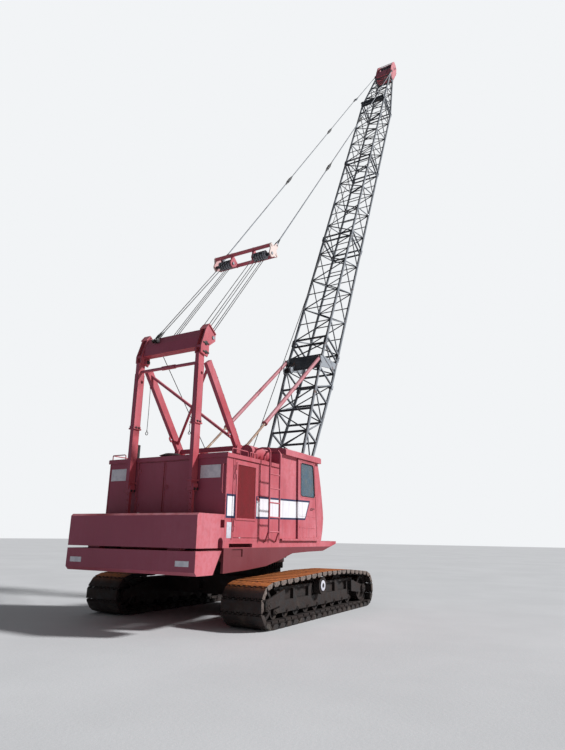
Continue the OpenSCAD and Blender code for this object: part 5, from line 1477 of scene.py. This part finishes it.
def boom_head_fittings():
    """Rope guards, keeper plates, sleeves and edge ribs of the boom head."""
    guards = Piece("boom_head_guards", "boom", RED, ON_BOOM)
    for degrees in (75, 110, 250, 290):
        a = math.radians(degrees)
        y, z = HEAD_SHEAVE_S + 0.326 * math.cos(a), HEAD_SHEAVE_Z + 0.326 * math.sin(a)
        guards.across(-0.436, 0.436, y, z, 0.014, 12)
        for x in (-0.444, 0.444):
            guards.across(x - 0.008, x + 0.008, y, z, 0.024, 6, 0.002)
    ribs = ((0.06, 0.02, 0.78, 0.02), (0.10, -0.23, 0.95, -0.36), (0.10, 0.235, 0.52, 0.27))
    spots = []
    for s in BOTH:
        face = s * 0.4335
        for x, end, y, z, r0, r1, chamfer in (
            (face, 0.012, HEAD_SHEAVE_S, HEAD_SHEAVE_Z, 0.047, 0.095, 0.005),
            (face, 0.014, HEAD_START + 1.480, -0.190, 0.036, 0.062, 0.004),
            (s * 0.4985, 0.007, HEAD_START + 0.300, 0.200, 0.0, 0.050, 0.004),
        ):
            guards.disc((x, y, z), "X", 0, s * end, r0, r1, chamfer)
        x = face + s * 0.004
        for y0, z0, y1, z1 in ribs:
            guards.bar((x, HEAD_START + y0, z0), (x, HEAD_START + y1, z1), 0.010, 8)
        rows = [(0.05, z) for z in (0.21, 0.10, -0.10, -0.21)]
        rows += [(0.20, 0.22), (0.34, 0.23), (0.20, -0.25), (0.34, -0.27)]
        for y, z in rows:
            spots.append((ON_BOOM @ Vector((face, HEAD_START + y, z)), turn_to((s, 0, 0))))
    guards.done()
    repeated("boom_head_bolts", "boom", bolt(0.013), spots)


boom_head_fittings()


def foot_fittings():
    """Keeper plates and bolts of the two boom foot pins."""
    keepers = Piece("foot_pin_keepers", "upper", DARK_RED)
    spots = []
    for s in BOTH:
        x = s * 0.662
        keepers.box((x, 1.115, 1.700), (x + s * 0.010, 1.205, 1.735), 0.002)
        for y in (1.130, 1.190):
            spots.append(((x + s * 0.010, y, 1.717), turn_to((s, 0, 0))))
    keepers.done()
    repeated("foot_pin_bolts", "upper", bolt(0.010), spots)


foot_fittings()


def winder_fittings():
    """Cable laid on the tagline winder's drum, its spring case and the bolts of its foot."""
    cable = Piece("tagline_cable", "boom", ROPE, ON_BOOM)
    y, z = BAND_S[0] - 0.165, 0.485 + 0.175
    for k in range(14):
        cable.hoop((-0.482 + 0.0112 * k, y, z), "X", 0.0755, 0.0055, 24, 6)
    cable.done(slotted=False)
    case = Piece("tagline_spring_case", "boom", SLATE, ON_BOOM)
    shell = [(-0.300, 0.02), (-0.300, 0.100), (-0.262, 0.096), (-0.252, 0.080), (-0.252, 0.02)]
    case.turned(shell, (0, y, z))
    case.disc((0, y, z), "X", -0.520, -0.526, 0.02, 0.050, 0.004)
    case.done()
    bands = (
        ((-0.48, -0.34), (0.075, 0.165), 0.5345),
        ((-0.55, -0.2, 0.0, 0.2, 0.4, 0.55), (0.0, 0.48), 0.510),
    )
    spots = []
    for rows, steps, height in bands:
        for x in rows:
            for forward in steps:
                spot = ON_BOOM @ Vector((x, BAND_S[0] + forward, height))
                spots.append((spot, turn_to(OFF_BACK)))
    repeated("band_bolts", "boom", bolt(finish=SLATE), spots)


winder_fittings()


def stop_fittings():
    """Collars, grease nipples and pin heads of the two boom stops."""
    collars = Piece("stop_tube_collars", "stop_tube_pair", CHALKY, ON_STOPS)
    pins = Piece("stop_upper_pins", "boom", SLATE, ON_BOOM)
    lower = Piece("stop_lower_pins", "upper", RED)
    start = STOP_L - 4.150
    mouth = ((0.002, 0.034), (0.002, 0.068), (0.050, 0.068), (0.060, 0.055), (0.060, 0.034))
    for s in BOTH:
        x = s * 0.585
        collars.turned([(start + d, r) for d, r in mouth], (x, 0, 0), "Y", 24)
        collars.disc((x, 0, 0), "Y", start + 1.9, start + 1.93, 0.052, 0.060, 0, 24)
        collars.bar((x, STOP_L - 0.35, 0.052), (x, STOP_L - 0.35, 0.070), 0.007, 8)
        for head in (0.519, 0.636):
            pins.across(s * head, s * (head + 0.010), *STOP_HEAD, 0.040)
        for head in (0.500, 0.6435):
            lower.across(s * head, s * (head + 0.016), *STOP_FOOT, 0.042)
        lower.across(s * 0.510, s * 0.650, *STOP_FOOT, 0.0272, 16, 0)
    for piece in (collars, pins, lower):
        piece.done()


stop_fittings()


# ROPES


def groove(s, i):
    """Where rope i of the luffing tackle lies across, on one side of the machine."""
    return s * (0.408 + 0.074 * i)


def luffing_ropes():
    """Ropes of the luffing tackle, laid in the grooves of the gantry's and the harness's sheaves."""
    lines = Piece("luffing_ropes", None, ROPE)
    # Side of the machine, side of the sheaves, and the grooves that hold a rope there
    for s, way, group in ((1, 1, (1, 3)), (1, -1, (0, 2, 3)), (-1, -1, (1, 2, 3))):
        for i in group:
            ends = [(groove(s, i), y, way * ROPE_OFF) for y in (0.001, HARNESS_AT - 0.001)]
            a, b = (ON_LINES @ Vector(p) for p in ends)
            lines.pipe([a.lerp(b, k / 12) for k in range(13)], 0.0085, 8)
    made = lines.done()
    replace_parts(made, "luffing_lines")
    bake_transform(made)
    for name, body, at, way in (
        ("ropes_on_gantry_sheaves", "luffing_tackle", 0.0, -1),
        ("ropes_on_harness_sheaves", "floating_harness", HARNESS_AT, 1),
    ):
        turns = Piece(name, body, ROPE, ON_LINES)
        bends = [(c * ROPE_OFF, s * ROPE_OFF) for c, s in circle(24)[:13]]
        for s in BOTH:
            for i in range(4):
                turns.pipe([(groove(s, i), at + way * out, up) for up, out in bends], 0.0084, 8)
        turns.done()


luffing_ropes()


def dead_ends():
    """Two left ropes of the tackle: they end in sockets pinned behind the gantry's head."""
    ends = Piece("rope_end_sockets", "upper", BLACK)
    near = Piece("rope_ends_near_head", None, ROPE)
    far = Piece("rope_ends_to_harness", None, ROPE)
    for x, i in ((-0.36, 0), (-0.44, 2)):
        low = Vector((x, -3.215, 5.730))
        high = ON_LINES @ Vector((groove(-1, i), HARNESS_AT - 0.001, ROPE_OFF))
        run = (high - low).normalized()
        ends.across(x - 0.036, x + 0.036, low.y, low.z, 0.014, 10, 0)
        for cheek in (x - 0.026, x + 0.026):
            back, front = low + Vector((0, -0.030, -0.040)), low + Vector((0, 0.062, 0.040))
            ends.block((cheek - 0.007, *back.yz), (cheek + 0.007, *front.yz))
        ends.bar(low - run * 0.01, low + run * 0.20, 0.016, 12, 0.003, 0.026)
        ends.bar(low + run * 0.19, low + run * 0.36, 0.028, 12, 0.003, 0.013)
        joint = low + run * 1.0
        near.pipe([(low + run * 0.34).lerp(joint, k / 24) for k in range(25)], 0.0095, 8)
        far.pipe([joint.lerp(high, k / 10) for k in range(11)], 0.0095, 8)
    ends.done()
    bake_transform(near.done())
    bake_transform(far.done())


dead_ends()


def lead_sheave():
    """The luffing rope's fall from the gantry's head, over a lead sheave, to the rear drum."""
    x, y, z = -0.350, -0.905, 3.060
    bracket = Piece("lead_sheave_bracket", "upper", RED)
    wall = FRONT_Y - 0.001
    cheek = [(wall, z - 0.10), (wall, z + 0.07), (y + 0.01, z + 0.045)]
    cheek += [(y + 0.045, z), (y + 0.01, z - 0.045)]
    for side in BOTH:
        bracket.plate(cheek, x + side * 0.040 - 0.006, x + side * 0.040 + 0.006)
    bracket.across(x - 0.056, x + 0.056, y, z, 0.016, 14)
    bracket.done()
    wheel = Piece("lead_sheave", "upper", SLATE)
    rim = [(-0.024, 0.0165), (-0.024, 0.040), (-0.010, 0.050), (-0.020, 0.096), (-0.012, 0.096)]
    wheel.turned(rim + [(0, 0.080)] + [(-d, r) for d, r in reversed(rim)], (x, y, z))
    wheel.done()
    r = 0.0895
    top = Vector((-0.600, -2.753, 5.590))
    first = Vector((x, y + r * 0.790, z + r * 0.6125))
    path = [top.lerp(first, k / 12) for k in range(12)]
    for k in range(7):
        a = math.radians(37.8 - 44.7 * k / 6)
        path.append(Vector((x, y + r * math.cos(a), z + r * math.sin(a))))
    last = Vector((x + 0.10, DRUM_Y["rear"] + 0.204, DRUM_Z))
    path += [path[-1].lerp(last, k / 8) for k in range(1, 9)]
    fall = Piece("luffing_rope_fall", "upper", ROPE)
    fall.pipe(path, 0.0085, 8)
    fall.done()


lead_sheave()


def pendant_connectors():
    """Forged sockets, link plates and pins between the lengths of each pendant."""
    links = Piece("pendant_connectors", "floating_harness", BLACK, ON_LINES)
    ends = Piece("pendant_link_sockets", "boom", BLACK, ON_LINES)

    def socket(piece, x, at, x1, at1, radius, end_radius):
        piece.bar((x, at, 0), (x1, at1, 0), radius, 12, 0.003, end_radius)

    run = LINK_END - HARNESS_AT - 0.580
    for s in BOTH:
        for at in (10.45, 16.25):
            x = s * (0.860 - 0.192 * (at - HARNESS_AT - 0.520) / run)
            for way in BOTH:
                socket(links, x, at + way * 0.40, x, at + way * 0.20, 0.019, 0.036)
                links.box((x - 0.017, at + way * 0.20, -0.036), (x + 0.017, at + way * 0.08, 0.036), 0.006)
                links.across(x - 0.046, x + 0.046, at + way * 0.115, 0, 0.017, 12, 0.002)
            for cheek in (x - 0.029, x + 0.029):
                links.block((cheek - 0.009, at - 0.165, -0.034), (cheek + 0.009, at + 0.165, 0.034), 0.005)
        socket(links, s * 0.8585, HARNESS_AT + 0.620, s * 0.8585, HARNESS_AT + 0.820, 0.034, 0.019)
        socket(links, s * 0.6705, LINK_END - 0.190, s * 0.6705, LINK_END - 0.390, 0.034, 0.019)
        links.across(s * 0.828, s * 0.926, HARNESS_AT + 0.425, 0, 0.021, 14)
        socket(ends, s * 0.5975, LINK_END + 0.130, s * 0.5925, LINK_END + 0.330, 0.034, 0.019)
        socket(ends, s * 0.4815, LINE_LENGTH - 0.330, s * 0.4785, LINE_LENGTH - 0.130, 0.019, 0.036)
        ends.across(s * 0.690, s * 0.704, LINK_END, 0, 0.034, 14)
    links.done()
    ends.done()


pendant_connectors()


def hoist_rope():
    """The hoist rope from the front drum up the back of the boom, over a head sheave to its socket."""
    start = Vector((-0.150, DRUM_Y["front"] - 0.150, DRUM_Z + 0.145))
    x = 0.225
    reach = 0.283
    tangent = Vector((0, 0.046, 0.999)) * reach
    leave = ON_BOOM @ (Vector((x, HEAD_SHEAVE_S, HEAD_SHEAVE_Z)) + tangent)
    # Points lie closer near the drum.
    path = [start.lerp(leave, (k / 90) ** 1.6) for k in range(91)]
    for k in range(1, 10):
        a = math.radians(87.4 - 20 * k)
        y, z = HEAD_SHEAVE_S + reach * math.cos(a), HEAD_SHEAVE_Z + reach * math.sin(a)
        path.append(ON_BOOM @ Vector((x, y, z)))
    rope = Piece("hoist_rope", None, ROPE)
    rope.pipe(path, 0.011, 8)
    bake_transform(rope.done())
    socket = Piece("hoist_rope_socket", "boom", BLACK, ON_BOOM)
    last = Vector((x, HEAD_SHEAVE_S - 0.034, -0.341))
    socket.bar(last, last + Vector((0, -0.17, 0.006)), 0.016, 12, 0.003, 0.036)
    socket.block(last + Vector((-0.030, -0.30, -0.032)), last + Vector((0.030, -0.165, 0.040)), 0.008)
    socket.done()


hoist_rope()


def drum_ropes():
    """Rope laid in turns on each hoist drum."""
    r = 0.0115
    layer = 0.190 + r * 0.9
    for which, y in DRUM_Y.items():
        wound = Piece(f"wound_rope_{which}", f"{which}_drum", ROPE)
        for k in range(22):
            wound.hoop(((k - 10.5) * 0.0236, y, DRUM_Z), "X", layer, r, 40)
        for k in range(9):
            wound.hoop(((k - 9.5) * 0.0236, y, DRUM_Z), "X", layer + 0.0198, r, 40)
        wound.done(slotted=False)


drum_ropes()


# STAGE AND LIGHT


def studio():
    """Plain pale floor and backdrop, a soft sun from the right rear and an even sky."""
    half = 150
    floor = bpy.data.meshes.new("floor")
    corners = [(x, y, 0) for x, y in rectangle(-half, half, -half, half)]
    floor.from_pydata(corners, [], [(0, 1, 2, 3)])
    floor.materials.append(FLOOR.material)
    ground = placed("floor", floor)
    ground.location.z = -0.001
    light = bpy.data.lights.new("sun", "SUN")
    light.energy = 4.1
    light.angle = math.radians(6)
    shining = Vector((-0.72, -0.36, -0.60))
    placed("sun", light).rotation_euler = (-shining).to_track_quat("Z", "Y").to_euler()
    world = bpy.data.worlds.new("sky")
    world.use_nodes = True
    scene.world = world
    tree = world.node_tree
    tree.nodes.clear()
    rays = add(tree, "ShaderNodeLightPath").outputs
    either = {0: rays["Is Camera Ray"], 1: rays["Is Transmission Ray"]}
    seen = add(tree, "ShaderNodeMath", either, operation="MAXIMUM")
    lit = add(tree, "ShaderNodeBackground", {"Color": colour("#EEF1F6"), "Strength": 0.22})
    pale = add(tree, "ShaderNodeBackground", {"Color": colour("#F2F4F6"), "Strength": 1.0})
    both = add(tree, "ShaderNodeMixShader", {0: seen.outputs[0], 1: lit.outputs[0], 2: pale.outputs[0]})
    add(tree, "ShaderNodeOutputWorld", {0: both.outputs[0]})


studio()
